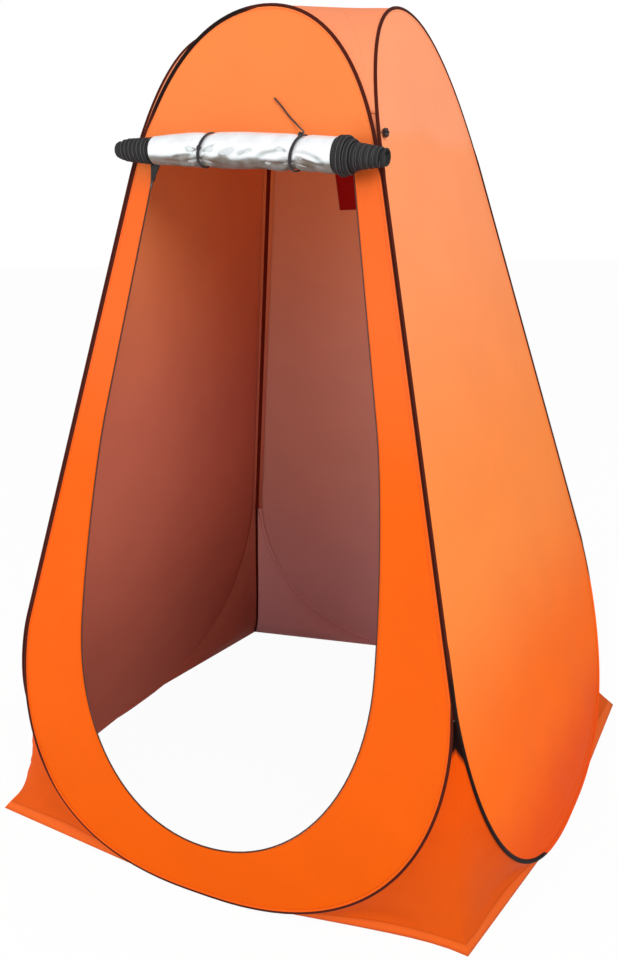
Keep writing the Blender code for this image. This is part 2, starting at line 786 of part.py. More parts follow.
def tie_points(x):
    """Sewn to the panel above the opening, over the roll, round its front and under it."""
    clear = TIE_RADIUS + RUNNING_CLEARANCE
    step = 2 * math.pi / ROLL_SIDES
    hem_angle = roll_hem(x)[0]
    points = []
    for k in range(TIE_FIRST_RING, TIE_LAST_RING + 1):
        angle = hem_angle - k * step
        radius = roll_radius(x, angle) + clear / math.cos(step / 2)
        points.append(roll_point(x, angle, radius))
    rise = OPENING_HEAD + TIE_SEWN_RISE - (ROLL_CENTRE[1] + x * math.sin(ROLL_TILT))
    face = CLOTH_FACE + clear - ROLL_STANDOFF
    sewn_x = x + TIE_SLANT * rise
    sewn = [Vector((sewn_x, rise + TIE_SEWN_LENGTH, face)), Vector((sewn_x, rise, face))]
    return sewn + points


def make_ties(body):
    for name, x in (("roll_tie_left", TIE_LEFT_AT), ("roll_tie_right", TIE_RIGHT_AT)):
        tie = tube(tie_points(x), TIE_RADIUS, sides=6)
        add_object(name, tie, "tie_cord", roll_frame(), body)


def smooth_route(route, per_span=4):
    """Points read from a smooth curve through the route's own points."""
    points = [Vector(p) for p in route]
    padded = [2 * points[0] - points[1]] + points + [2 * points[-1] - points[-2]]
    made = []
    for a, b, c, d in zip(padded, padded[1:], padded[2:], padded[3:]):
        for i in range(per_span):
            t = i / per_span
            bend = (2 * a - 5 * b + 4 * c - d) * t**2
            twist = (3 * b - a - 3 * c + d) * t**3
            made.append((2 * b + (c - a) * t + bend + twist) / 2)
    return made + [points[-1]]


# The loose tail of the right tie, in the front panel's own frame.
TAIL_ROUTE = [
    (0.1572, 1.6460, 0.0624), (0.1579, 1.6488, 0.0565), (0.1579, 1.6509, 0.0501),
    (0.1562, 1.6540, 0.0430), (0.1508, 1.6586, 0.0344), (0.1412, 1.6658, 0.0231),
    (0.1290, 1.6745, 0.0122), (0.1160, 1.6855, 0.0055), (0.1030, 1.6970, 0.0029),
    (0.0910, 1.7090, 0.0026), (0.0760, 1.7260, 0.0026), (0.0570, 1.7450, 0.0026),
]


def make_tail(body):
    points = smooth_route(TAIL_ROUTE)
    length = sum((b - a).length for a, b in zip(points, points[1:]))
    print(f"right_tie_tail: {length * 1000:.0f} mm long")
    add_object("right_tie_tail", tube(points, TAIL_RADIUS), "tie_cord", FRAMES["front"], body)


def roof_boundary(panel, side):
    """Points behind a panel's upper arc, from this side of the hoop to the other."""
    span = (1 - ROOF_ARC_START) / ROOF_ARC_STEPS
    rising = [arc_point(UPPER_ARC, ROOF_ARC_START + span * i) for i in range(ROOF_ARC_STEPS + 1)]
    across = rising + [(-x, y) for x, y in reversed(rising[:-1])]
    return [FRAMES[panel] @ Vector((side * x, y, -BEHIND_SLEEVE)) for x, y in across]


def make_roof(name, panels, side, body):
    """Half of the saddle-shaped roof, between two panels' upper arcs and the seam across it."""
    shift = Vector((-side, -side, 0)).normalized() * ROOF_SPLIT
    start, end = ROOF_CORNERS
    arcs = roof_boundary(panels[0], side) + roof_boundary(panels[1], side)
    boundary = [start + shift, *arcs, end + shift]
    crown = max(point.z for point in boundary)
    centre = shift + Vector((0, middle_y(), crown - ROOF_CENTRE_DROP))
    rows = []
    for ring in range(ROOF_RINGS + 1):
        share = ring / ROOF_RINGS
        row = []
        for point in boundary:
            flat = centre + (point - centre) * share
            flat.z = centre.z + (point.z - centre.z) * share**ROOF_POWER
            row.append(flat)
        rows.append(row)
    add_thickness(add_object(name, sheet(rows), "panel_orange", Matrix(), body), CLOTH)


def middle_y():
    """Halfway between the front and the back panel."""
    return (FRAMES["front"].translation.y + FRAMES["back"].translation.y) / 2


def roof_corners():
    """The two ends of the seam across the roof, between the hoops that part there."""
    ends = []
    x, y = arc_point(UPPER_ARC, ROOF_ARC_START)
    for panel, side, other, other_side in (("front", 1, "right", -1), ("left", -1, "back", 1)):
        first = FRAMES[panel] @ Vector((side * x, y, -BEHIND_SLEEVE))
        second = FRAMES[other] @ Vector((other_side * x, y, -BEHIND_SLEEVE))
        ends.append((first + second) / 2)
    return ends


def gusset_edge(panel, side):
    span = (GUSSET_ARC_END - GUSSET_ARC_START) / (GUSSET_ROWS - 1)
    spots = [arc_point(LOWER_ARC, GUSSET_ARC_START + span * i) for i in range(GUSSET_ROWS)]
    return [FRAMES[panel] @ Vector((side * x, y, -BEHIND_SLEEVE)) for x, y in spots]


def make_gusset(name, near, far, peg, slack, body):
    """A triangle of cloth between two hoops' lower arcs, creased from the seam to its peg."""
    near_edge = gusset_edge(*near)
    far_edge = gusset_edge(*far)
    top = (near_edge[0] + far_edge[0]) / 2
    tip = Vector((peg[0], peg[1] + middle_y(), CLOTH))
    rows = []
    for i, (a, b) in enumerate(zip(near_edge, far_edge)):
        down = i / (GUSSET_ROWS - 1)
        crease = top.lerp(tip, (1 - slack) * down + slack * down**GUSSET_FLARE)
        crease.z = top.z + (tip.z - top.z) * down
        row = [a.lerp(crease, j / GUSSET_COLUMNS) for j in range(GUSSET_COLUMNS)]
        row += [crease.lerp(b, j / GUSSET_COLUMNS) for j in range(GUSSET_COLUMNS + 1)]
        rows.append(row)
    add_thickness(add_object(name, sheet(rows), "panel_orange", Matrix(), body), CLOTH)


def make_seam_tape(body):
    """The tape that closes the back-left seam, sewn to both sleeves on their inner side."""
    flange = FLANGE_OUTER + CLOTH_CLEARANCE + SEAM_TAPE_THICKNESS / 2
    rows = []
    for rise in (KNEE_RISE, SHOULDER_RISE):
        rows.append([
            seam_point("left", -1, rise, SEAM_TAPE_FLAP, flange),
            seam_point("left", -1, rise, SEAM_TAPE_FOLD, BEHIND_SLEEVE),
            seam_point("back", 1, rise, SEAM_TAPE_FOLD, BEHIND_SLEEVE),
            seam_point("back", 1, rise, SEAM_TAPE_FLAP, flange),
        ])
    tape = add_object("back_left_seam_tape", sheet(rows), "binding_black", Matrix(), body)
    add_thickness(tape, SEAM_TAPE_THICKNESS)


def make_pocket(body):
    half = POCKET_WIDTH / 2
    cut = POCKET_CORNER
    outline = [
        (-half, POCKET_HEIGHT), (-half, cut), (-half + cut, 0),
        (half - cut, 0), (half, cut), (half, POCKET_HEIGHT),
    ]
    behind = CLOTH_FACE + CLOTH_CLEARANCE + POCKET_THICKNESS / 2
    frame = FRAMES["back"] @ Matrix.Translation((0, POCKET_BOTTOM_RISE, -behind))
    add_object("inner_pocket", plate([outline], POCKET_THICKNESS), "pocket_red", frame, body)


def make_toggle(body):
    """A barrel toggle beside the front-right seam, held to the panel by a short loop."""
    standoff = CLOTH_FACE + CLOTH_CLEARANCE + TOGGLE_RADIUS
    reach = TOGGLE_WAIST + RUNNING_CLEARANCE + TOGGLE_LOOP_RADIUS
    inset = SLEEVE_FLANGE + CLOTH_CLEARANCE + TOGGLE_LOOP_RADIUS + reach
    x, y = arc_point(UPPER_ARC, TOGGLE_ALONG_ARC, inset)
    along_x, along_y = bezier_slope(*UPPER_ARC, TOGGLE_ALONG_ARC)
    lie = Matrix.Rotation(math.atan2(along_x, along_y), 4, "Z")
    frame = FRAMES["right"] @ Matrix.Translation((-x, y, standoff)) @ lie
    half = [(TOGGLE_END_RADIUS, 0.5), (TOGGLE_RADIUS, 0.38), (TOGGLE_RADIUS, 0.16), (TOGGLE_WAIST, 0.1)]
    profile = half + [(radius, -height) for radius, height in reversed(half)]

    def build(shape):
        spots = [shape.verts.new((0, 0, TOGGLE_LENGTH / 2))]
        spots += [shape.verts.new((radius, 0, height * TOGGLE_LENGTH)) for radius, height in profile]
        spots.append(shape.verts.new((0, 0, -TOGGLE_LENGTH / 2)))
        for start, end in zip(spots, spots[1:]):
            shape.edges.new((start, end))

    along = frame @ Matrix.Rotation(-math.pi / 2, 4, "X")
    add_screw(add_object("side_toggle", mesh_from(build), "toggle_plastic", along, body), TOGGLE_SIDES)
    turns = [math.pi * i / TOGGLE_LOOP_STEPS for i in range(TOGGLE_LOOP_STEPS + 1)]
    arc = [(-reach * math.cos(turn), 0, reach * math.sin(turn)) for turn in turns]
    loop = [(-reach, 0, -TOGGLE_RADIUS)] + arc + [(reach, 0, -TOGGLE_RADIUS)]
    add_object("side_toggle_loop", tube(loop, TOGGLE_LOOP_RADIUS, sides=6), "tie_cord", frame, body)


def build_tent():
    middle = (KNEE_RISE + SHOULDER_RISE) / 2
    bodies = {
        "front": add_body("front_body", FRAMES["front"].translation),
        "right": add_body("right_fold_axis", seam_point("front", 1, middle)),
        "left": add_body("left_fold_axis", seam_point("front", -1, middle)),
        "back": add_body("back_fold_axis", seam_point("right", 1, middle)),
    }
    sleeve_guide = section_guide("sleeve_section", sleeve_section())
    for name in ("front", "right", "back", "left"):
        make_panel(name, bodies[name], [opening_outline()] if name == "front" else ())
        make_hoop(name, bodies[name], sleeve_guide)
    make_opening_zip(bodies["front"])
    make_zip_slider()
    make_door_roll(bodies["front"])
    make_roll_zips(bodies["front"])
    make_ties(bodies["front"])
    make_tail(bodies["front"])
    make_roof("roof_front_left", ("front", "left"), 1, bodies["front"])
    make_roof("roof_back_right", ("right", "back"), -1, bodies["right"])
    for name, near, far, peg, slack, body in (
        ("gusset_front_left", ("front", -1), ("left", 1), FRONT_LEFT_PEG, FRONT_LEFT_SLACK, "front"),
        ("gusset_front_right", ("front", 1), ("right", -1), FRONT_RIGHT_PEG, FRONT_RIGHT_SLACK, "front"),
        ("gusset_back_right", ("right", 1), ("back", -1), BACK_RIGHT_PEG, BACK_RIGHT_SLACK, "right"),
        ("gusset_back_left", ("left", -1), ("back", 1), BACK_LEFT_PEG, BACK_LEFT_SLACK, "left"),
    ):
        make_gusset(name, near, far, peg, slack, bodies[body])
    make_seam_tape(bodies["left"])
    make_pocket(bodies["back"])
    make_toggle(bodies["right"])
    return bodies


clear_scene()
PARTS = collection("privacy_tent")
GUIDES = collection("guides")
FRAMES = place_panels()
ROOF_CORNERS = roof_corners()
BODIES = build_tent()
bpy.context.view_layer.update()
for body in [obj for obj in PARTS.objects if obj.type == "EMPTY"]:
    print(body.name, [round(value, 5) for value in body.matrix_world.translation])
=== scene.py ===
"""Looks of a pop-up privacy tent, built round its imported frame: cloth, bindings, roof, gussets,
rolled door, zips, ties, pocket, and the stage with its camera and lights. Metres, +Z up."""

import math

import bmesh
import bpy
from bpy.props import FloatProperty, FloatVectorProperty, IntProperty, PointerProperty
from mathutils import Matrix, Vector, noise


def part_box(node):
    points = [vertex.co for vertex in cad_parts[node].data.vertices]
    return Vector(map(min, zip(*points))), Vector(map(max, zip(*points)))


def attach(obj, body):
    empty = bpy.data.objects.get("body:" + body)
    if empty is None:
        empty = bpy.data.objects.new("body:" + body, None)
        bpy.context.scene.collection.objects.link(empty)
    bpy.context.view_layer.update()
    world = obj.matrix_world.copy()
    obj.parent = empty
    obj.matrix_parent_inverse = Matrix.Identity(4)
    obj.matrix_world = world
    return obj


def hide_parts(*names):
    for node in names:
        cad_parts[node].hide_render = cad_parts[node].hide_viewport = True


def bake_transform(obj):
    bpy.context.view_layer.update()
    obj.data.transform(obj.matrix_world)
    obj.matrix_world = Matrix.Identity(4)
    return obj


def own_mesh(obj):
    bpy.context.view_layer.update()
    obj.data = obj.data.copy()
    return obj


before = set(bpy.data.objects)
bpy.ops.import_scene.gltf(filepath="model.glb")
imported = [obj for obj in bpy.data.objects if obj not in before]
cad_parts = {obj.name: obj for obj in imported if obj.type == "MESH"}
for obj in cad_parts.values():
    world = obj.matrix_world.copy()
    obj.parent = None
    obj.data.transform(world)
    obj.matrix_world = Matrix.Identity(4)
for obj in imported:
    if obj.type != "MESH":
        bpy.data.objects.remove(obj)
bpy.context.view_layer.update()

bl_info = {
    "name": "Privacy tent",
    "version": (1, 0, 0),
    "blender": (4, 5, 0),
    "location": "3D View > Sidebar > Tent",
    "description": "Makes the cloth, bindings, rolled door and stage of a privacy tent",
    "category": "Object",
}

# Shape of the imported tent. Heights are measured up a leaning panel from the middle of its foot.
LEAN = math.radians(13.1)
HEIGHT = 1.9
HOOP_RISE = 1.943
SHOULDER = (0.311, 1.582)
KNEE_RISE = 0.540
CROWN_REACH = 0.24
SHOULDER_REACH = 0.04
KNEE_REACH = 0.07
LOBE_REACH = 0.60
FOOT_HALF_WIDTH = 0.03
SLEEVE_RADIUS = 0.0036
SLEEVE_OPENS = math.radians(32)
WIRE_RADIUS = 0.0019
WIRE_HALF_GAP = 0.0005
FLANGE_REACH = 0.0062
FLANGE_FACE = 0.0013
PANEL_INSET = 0.0008
FLANGE_HALF_GAP = 0.0002
FLANGE_BEVEL = 0.0006
FLANGE_ROOT = 0.0046
BEHIND_TUBE = -0.6 * SLEEVE_RADIUS
# Thicknesses of the cloth and tape that differ from the panels'.
ROLL_WALL = 0.0006
POCKET_WALL = 0.0006
LEAD_WALL = 0.0008
SEAM_TAPE_WALL = 0.0005
OPENING_HEAD = 1.635
OPENING_HEAD_RADIUS = 0.030
OPENING_SIDE = (0.349, 1.060)
OPENING_SPLAY = 0.180
OPENING_WIDEST = (0.384, 0.560)
OPENING_HANDLES = (0.080, 0.200)
OPENING_SILL = 0.104
OPENING_ROUNDNESS = 0.58
OPENING_MIDDLE = 0.95
ROLL_CENTRE = (0.012, 1.627)
ROLL_TILT = math.radians(-5.0)
ROLL_STANDOFF = 0.0425
ROLL_END = 0.226
ROLL_BOW = 0.005
ROLL_PROFILE = ((0, 0.031), (0.2, 0.0365), (0.5, 0.038), (1, 0.0365))
ROLL_START = math.radians(152)
ROLL_TURNS = 5.0
ROLL_OUTER_TURNS = 1.2
ROLL_LAYER = 0.0030
ROLL_HEAD_TURN = 0.12
# The roll's turns that have folds and how suddenly these start, its turns that show, the painted
# shade on the others, and how far a turn goes on the cloth.
ROLL_FOLDED_TURNS = 1.15
ROLL_FOLDS_START = 6
ROLL_SHOWN_TURNS = 1.1
ROLL_INNER_SHADE = 0.6
ROLL_TURN_LENGTH = 0.17
ROLL_SEAM = (0.018, 0.0016)
ROLL_CLEARANCE = 0.0012
COIL_TUBE_RADIUS = 0.0055
COIL_PITCH = 0.0119
COIL_START_GAP = 0.0012
COIL_STEPS = 40
COIL_TUCK = 0.006
RIB_HALF_WIDTH = 0.53 * COIL_PITCH
RIB_GROOVE = (0.0016, 0.0011)
CORE_DEPTH = 0.0065
# The wound tape's inner layers: where their radius is read, the left tip's dome (turns, reach and
# bulge), and the right tip's hollow, as steps out from the span and in from its rim.
CORE_START = -0.006
CORE_SHARES = (0.2, 0.3, 0.42, 0.75, 0.94)
CORE_DOME = (0, 0.5, 0.9, 1.25, 1.5)
CORE_DOME_STEPS = (0.003, 0.010, 0.004)
CORE_RIM = 0.0045
CORE_HOLLOW = (
    (-0.002, 0), (0.0005, 0), (0.0015, 0.001),
    (0.0015, 0.003), (-0.001, 0.0042), (-0.016, 0.0060),
)
CORE_FLOOR = (-0.018, 0.002)
TAPE_CREST_PITCH = 0.0031
COILS = {
    "left": (-1, 7, ((0, 0.031), (0.2, 0.0285), (0.75, 0.0255), (1, 0.020))),
    "right": (1, 8, ((0, 0.041), (0.2, 0.0405), (0.42, 0.027), (1, 0.0185))),
}
TIE_RADIUS = 0.0022
TIES = {"left": -0.086, "right": 0.139}
TIE_SLANT = 0.27
TIE_SLANT_REACH = 0.03
TIE_SEWN_RISE = 0.020
TIE_HALF_WIDTH = 0.0036
TIE_END = math.radians(125)
TIE_PINCH = (0.0042, 0.014)
TIE_CLEARANCE = 0.0004
TIE_SEWN_LENGTH = 0.014
TIE_SEWN_LIFT = (0.0008, 0.002)
TIE_STEPS = 14
KNOT_RADIUS = 0.0030
KNOT_SWING = 0.45
KNOT_STEPS = 48
# Each knot's turn above the roll's front, and its height over the tie in the tie's radii.
KNOTS = {"left": (math.radians(-8), 1.3), "right": (math.radians(58), 1.2)}
# Creases of the rolled door: their points (distance from the roll's middle, turn below its front
# in degrees), how deep they go (below zero for a bulge) and half their width.
ROLL_CREASES = (
    (((-0.128, -2), (-0.108, -7), (-0.090, -12)), 0.0034, 0.0048),
    (((-0.124, -16), (-0.106, -15), (-0.090, -13)), 0.0026, 0.0034),
    (((-0.160, -38), (-0.130, -34), (-0.096, -26)), 0.0026, 0.0050),
    (((-0.082, -14), (-0.066, -6), (-0.046, 7)), 0.0034, 0.0042),
    (((-0.082, -18), (-0.064, -17), (-0.048, -10)), 0.0028, 0.0038),
    (((-0.044, -27), (-0.020, -18), (0.008, -7)), 0.0032, 0.0052),
    (((0.004, -28), (0.028, -18), (0.050, -5)), 0.0034, 0.0050),
    (((-0.020, -38), (0.010, -36), (0.040, -28)), -0.0024, 0.0062),
    (((0.052, -26), (0.084, -14), (0.118, 1)), 0.0032, 0.0050),
    (((0.060, -40), (0.092, -32), (0.122, -26)), -0.0034, 0.0070),
    (((0.100, 5), (0.118, -3), (0.134, -12)), 0.0030, 0.0040),
    (((0.146, -8), (0.176, -14), (0.212, -30)), 0.0036, 0.0046),
    (((0.148, -26), (0.178, -42), (0.216, -52)), 0.0032, 0.0048),
    (((0.152, -20), (0.180, -28), (0.208, -40)), -0.0036, 0.0070),
    (((-0.210, -54), (-0.110, -60), (-0.040, -60)), 0.0030, 0.0060),
    (((0.030, -60), (0.120, -58), (0.205, -64)), 0.0028, 0.0060),
)
# How the creases wander (by how much and at what pitch), how they taper off along their length,
# and the painted shade that a crease leaves on the coat, which a bulge takes away.
CREASE_JITTER = (0.0022, 0.03)
CREASE_TAPER = (1.15, 0.75)
CREASE_WIDTHS = (0.45, 0.75)
CREASE_SHADE = 0.85
BULGE_SHADE = -0.5
SHADE_REACH = 0.95
# Where the roll's underside starts to take painted shade, in degrees below its front, and how
# that line wanders.
SHADED_UNDERSIDE = (19, 24)
SHADE_WANDER = (10, 0.04)
# The rolled cloth's folds, in shares of a crease's height: its swell and its rumpled underside
# (height and pitch), and the fan at each tie (height, number, turn, length and start).
FOLD_ARM = 0.037
FOLD_SWELL = (0.35, 0.05)
FOLD_UNDER = (0.9, 0.045)
FOLD_FAN = (1.1, 7, 30, 0.035, 0.012)
TAIL_RADIUS = 0.0017
TAIL_ROUTE = (
    (0.1572, 1.6460, 0.0624), (0.1579, 1.6488, 0.0565), (0.1579, 1.6509, 0.0501),
    (0.1562, 1.6540, 0.0430), (0.1508, 1.6586, 0.0344), (0.1412, 1.6658, 0.0231),
    (0.1290, 1.6745, 0.0122), (0.1160, 1.6855, 0.0055), (0.1030, 1.6970, 0.0029),
    (0.0910, 1.7090, 0.0026), (0.0760, 1.7260, 0.0026), (0.0570, 1.7450, 0.0026),
)
# Corners of the zip's lead, on the front panel: under the roll, then at the opening's corner.
ZIP_LEAD = (
    ((-0.247, 1.622, 0.014), (-0.214, 1.620, 0.022)),
    ((-0.2535, 1.584, 0.0014), (-0.2450, 1.585, 0.0030)),
)
ZIP_TAPE_SECTION = ((-0.0090, -0.0015), (0.0006, -0.0015), (0.0006, -0.0008), (-0.0090, -0.0008))
ZIP_TEETH_PLACE = (0.0021, -0.00115)
ZIP_TEETH_RADII = ((0.0016, 0.0012), (0.0012, 0.0008))
TOGGLE_ALONG_ARC = 0.26
TOGGLE_RADIUS = 0.0062
TOGGLE_WAIST = 0.0052
TOGGLE_LOOP_RADIUS = 0.0011
TOGGLE_CLEARANCE = 0.0003
ROOF_ARC_START = 0.34
ROOF_CENTRE_DROP = 0.006
ROOF_CHORDS = 30
ROOF_COLUMNS = 14
ROOF_RINGS = 10
ROOF_UNDERLAP = 0.0006
ROOF_EDGE_DROP = (0.25, 0.1)
ROOF_RIPPLE = (0.0024, 0.12, 0.08)
GUSSET_ARC = (0.90, 0.045)
GUSSET_GRID = (24, 40)
# The two sides that meet at each corner: a panel, and 1 or -1 for its right or left edge.
CORNERS = {
    "front_right": (("front", 1), ("right", -1)),
    "front_left": (("front", -1), ("left", 1)),
    "back_right": (("right", 1), ("back", -1)),
    "back_left": (("left", -1), ("back", 1)),
}
SEWN_CORNERS = ("front_left", "front_right", "back_right")
OPEN_CORNER = "back_left"
OPEN_HALVES = (("left", (0, 0.5)), ("back", (0.5, 1)))
# Where each gusset's tip is pegged, the share of its way out there that its crease makes only near
# the ground, how suddenly it does, and how far the foot of its first side is cut back.
PEGS = {
    "front_left": (-0.651, -0.617, 0.80, 4.2, 0.0),
    "front_right": (0.603, -0.600, 0.30, 7.0, 0.026),
    "back_right": (0.667, 0.572, 0.55, 7.0, 0.0),
    "back_left": (-0.619, 0.602, 0.20, 7.0, 0.0),
}
# Forms of a gusset's cloth: the slack between its edges as a share of its width, its ripples
# (height and pitch), the folds that fan out from its top (height and number), the rumple along
# its crease (height, pitch and reach), and the crease's rounding.
GUSSET_SLACK = 0.05
GUSSET_RIPPLE = (0.003, 0.07)
GUSSET_FAN = (0.0016, 16)
GUSSET_RUMPLE = (0.0030, 0.022, 0.16)
GUSSET_ROUNDING = 0.020
SEAM_TAPE_SECTION = ((0.0120, -0.0019), (0.0085, -0.0021), (0.0050, -0.0034), (0.0010, -0.0046))
SEAM_TAPE_DARK = 3
SEAM_TAPE_PITCH = 0.0040
SEAM_TAPE_OPENS = 0.83
SEAM_STEPS = 30
# The part of a binding's girth, in steps of its section, that the dark tape covers.
TAPE_FROM = 3.4
TAPE_FROM_SEAM = 7.6
TAPE_FROM_FOOT = 5.0
TAPE_FROM_SHADED = 0.0
TAPE_FROM_LIT = 12.5
TAPE_TO = 15.3
# Where the bindings' stretches start on their panels, and the way in which each sets in: wide at
# the front's left shoulder and at the right panel's front foot, where the dark tape covers the
# whole sleeve, partly as painted shade, and late at its other foot, where the cloth's colour on
# the sleeve paints a highlight.
SHADED_SHOULDER = (1.70, 0.06)
SHADED_FOOT = (0.66, 0.08)
LIT_FOOT = (0.44, 0.10)
FRONT_FEET = {"left": 0.20, "right": 0.60}
FRONT_FOOT_FADE = 0.08
NEAR_FOOT = (-0.22, 0.05)
SIDE_FADE = 0.04
SEAM_REACH = 0.04
STITCH_STEP = 2.2
POCKET_SIZE = (0.200, 0.140)
POCKET_BOTTOM_RISE = 1.514
POCKET_STANDOFF = 0.0020
POCKET_SAG = 0.006
POCKET_RUMPLE = (0.0012, 0.05, 0.02)
POCKET_FROM_EDGE = 0.2

# Waves and creases of the panels: sizes across, reaches from an edge, and heights.
BROAD_WAVES = ((0.42, 1.0), (0.13, 0.35))
FREE_REACH = 0.09
GATHER_REACH = 0.030
GATHER_PITCH = 0.022
CORNER_PULL = 0.0012
CORNER_FANS = 9
CORNER_REACH = 0.16
FRONT_CREASE = (1.005, 0.007, 0.0011)
RIGHT_CREASE = (0.034, 0.006, 0.0016)
RIGHT_CREASE_TOP = (0.16, 0.05)
CREASE_WANDER = (0.012, 0.1)
# How near an edge the gathers, the pulls at the corners and the front's crease set in.
GATHER_FADE = 0.004
CORNER_FADE = 0.03
CREASE_FADE = 0.02
ROLL_HIDES = (0.05, 0.08)
LEAST_ROOM = 0.1

# The photograph's frame, the camera that took it, and the studio.
PHOTO_HEIGHT = 960
FOCAL_PIXELS = 953.89
SENSOR = 36.0
CAMERA_PLACE = (1.1153, -2.1549, 1.4460)
CAMERA_YAW = math.radians(28.3044)
CAMERA_PITCH = math.radians(15.0567)
CAMERA_ROLL = math.radians(-2.1186)
FLOOR_SIZE = 30
FLOOR_GLOW = 0.96
WORLD_LIGHT = 0.62
LAMP_AIM = (0, 0, 0.9)
LAMPS = {
    "key": ((3.4, -2.6, 3.6), 2.6, 120),
    "fill": ((-1.6, -3.6, 2.2), 2.4, 41),
    "left": ((-3.4, -2.0, 0.9), 2.0, 24),
}

TURNS = {"front": 0.0, "right": math.pi / 2, "back": math.pi, "left": -math.pi / 2}
# Heights that the roof, the gussets and the seam tapes turn their outer faces from.
FAR_BELOW = -1000
BESIDE_GUSSETS = 0.3
BESIDE_SEAMS = 0.9
MERGE = 0.00002
SMOOTH_ANGLE = math.radians(50)
LEAST_FILLED = 0.301
SPLAY = math.sin(LEAN)
CLOTH_GLOSS = 0.05
WHITE = (1, 1, 1, 1)
# Grains of the cloth and the tapes: scale and detail, then how each way stretches them.
WEAVE = (90, 2.0)
WARP = (14, 1, 1)
WEFT = (1, 14, 1)
TAPE_RIBS = (400, 1.0, (3, 0.4, 1))

# Each colour's description, and its value as a picture writes it.
COLOURS = {
    # The panels' colours are painted light: paler towards the crown, where more light falls, and
    # darker towards the foot.
    "front_low": ("Front panel at its foot", (227, 90, 3)),
    "front_middle": ("Front panel's strips", (232, 93, 14)),
    "front_upper": ("Front panel's strips near the roll", (234, 102, 40)),
    "front_high": ("Front panel at its crown", (242, 128, 66)),
    "side_low": ("Side panels at their feet", (232, 80, 0)),
    "side_lower": ("Side panels near their feet", (250, 106, 12)),
    "side_middle": ("Side panels at half their height", (250, 137, 62)),
    "side_high": ("Side panels at their crowns", (250, 156, 112)),
    # Painted light: the roof takes the paler colour of the panels' lit crowns.
    "roof": ("Roof cloth", (243, 143, 100)),
    "gusset": ("Corner gussets", (215, 85, 16)),
    # The lining's colours are painted light: the orange light that comes through the cloth, darker
    # towards the foot; the back panel's lining is the palest, where the most light falls.
    "lining_low": ("Coated inner face at the foot", (168, 90, 74)),
    "lining_middle": ("Coated inner face at half height", (212, 121, 98)),
    "lining_high": ("Coated inner face at the crown", (244, 142, 82)),
    "back_lining_low": ("Back panel's inner face at the foot", (230, 174, 176)),
    "back_lining_middle": ("Back panel's inner face at half height", (236, 167, 148)),
    "back_lining_high": ("Back panel's inner face at the crown", (252, 158, 106)),
    # Painted highlight: the hem's paler colour stands for the light on its turned flap.
    "hem": ("Turned hem along a gusset's foot", (250, 120, 52)),
    "hem_stitch": ("Thread along the hems", (150, 60, 20)),
    "binding": ("Woven binding tape", (70, 20, 8)),
    # Painted shade: a darker binding where it lies in shadow, also on the gussets' tops.
    "binding_dark": ("Binding where it is widest", (26, 9, 6)),
    "binding_stitch": ("Thread along the bindings", (120, 50, 24)),
    "seam_tape": ("Tape inside the corner seams", (112, 30, 14)),
    "silver": ("Coated outer face of the rolled door", (240, 242, 245)),
    # Painted shade on the rolled door: grey in its creases, and deepest, with a painted brown
    # reflection of the tent's orange inside, in its folds and underneath.
    "silver_shade": ("Coat in the rolled door's creases", (158, 168, 168)),
    "silver_dull": ("Coat in the rolled door's folds", (104, 92, 80)),
    "zip_tape": ("Woven zip tape", (28, 27, 29)),
    # Painted highlight: paler stripes along the wound tape's rib crests, of random strength.
    "thread": ("Worn thread on the wound zip tape", (120, 118, 120)),
    "opening_tape": ("Zip tape round the opening", (66, 22, 12)),
    "opening_tape_low": ("Zip tape at the opening's foot", (150, 62, 24)),
    "cord": ("Ties and loops", (26, 22, 26)),
    "pocket": ("Pocket cloth", (172, 3, 0)),
    "toggle": ("Moulded toggle", (44, 20, 16)),
    "steel": ("Spring wire", (150, 150, 152)),
    "brass": ("Crimps at the hoops' feet", (186, 160, 100)),
    "enamel": ("Zip's slider and pull", (70, 68, 68)),
    "floor": ("Floor and backdrop", (244, 244, 243)),
}


def linear(red, green, blue):
    """A colour as a picture writes it, from 0 to 255, in the linear light that a shader takes."""
    return tuple(
        (c / 255 / 12.92) if c <= 10 else ((c / 255 + 0.055) / 1.055) ** 2.4
        for c in (red, green, blue)
    )


def length_property(name, description, default):
    return FloatProperty(
        name=name, description=description, default=default, min=0.0, precision=4, unit="LENGTH"
    )


def colour_property(key, description, colour):
    return FloatVectorProperty(
        name=key.replace("_", " ").capitalize(),
        description=description,
        default=linear(*colour),
        subtype="COLOR",
        min=0,
        max=1,
    )


class TentSizes(bpy.types.PropertyGroup):
    """Sizes of the tent's cloth and trim."""

    cloth: length_property("Cloth", "Thickness of the coated cloth", 0.0004)
    billow: length_property("Billow", "How far a panel's middle stands out of its plane", 0.005)
    pucker: length_property("Pucker", "Height of the small gathers beside the bindings", 0.0009)
    hem: length_property("Hem", "Width of the turned hem along a gusset's foot", 0.021)
    crease: length_property("Crease", "Height of the folds in the rolled door", 0.0032)
    stitch: length_property("Stitch", "Pitch of the stitches along bindings and hems", 0.0042)
    tooth: length_property("Tooth", "Pitch of the zip's coil", 0.0016)
    steps: IntProperty(name="Steps", description="Mesh steps round a hoop", default=320, min=80)


class TentColours(bpy.types.PropertyGroup):
    """Colours of the tent's cloth and trim."""

    __annotations__ = {key: colour_property(key, *rest) for key, rest in COLOURS.items()}


def sizes():
    return bpy.context.scene.tent_sizes


def colours():
    return bpy.context.scene.tent_colours


# ---------------------------------------------------------------- places on the tent


def bezier(ends, t):
    s = 1 - t
    shares = (s**3, 3 * s * s * t, 3 * s * t * t, t**3)
    return tuple(sum(share * end[i] for share, end in zip(shares, ends)) for i in (0, 1))


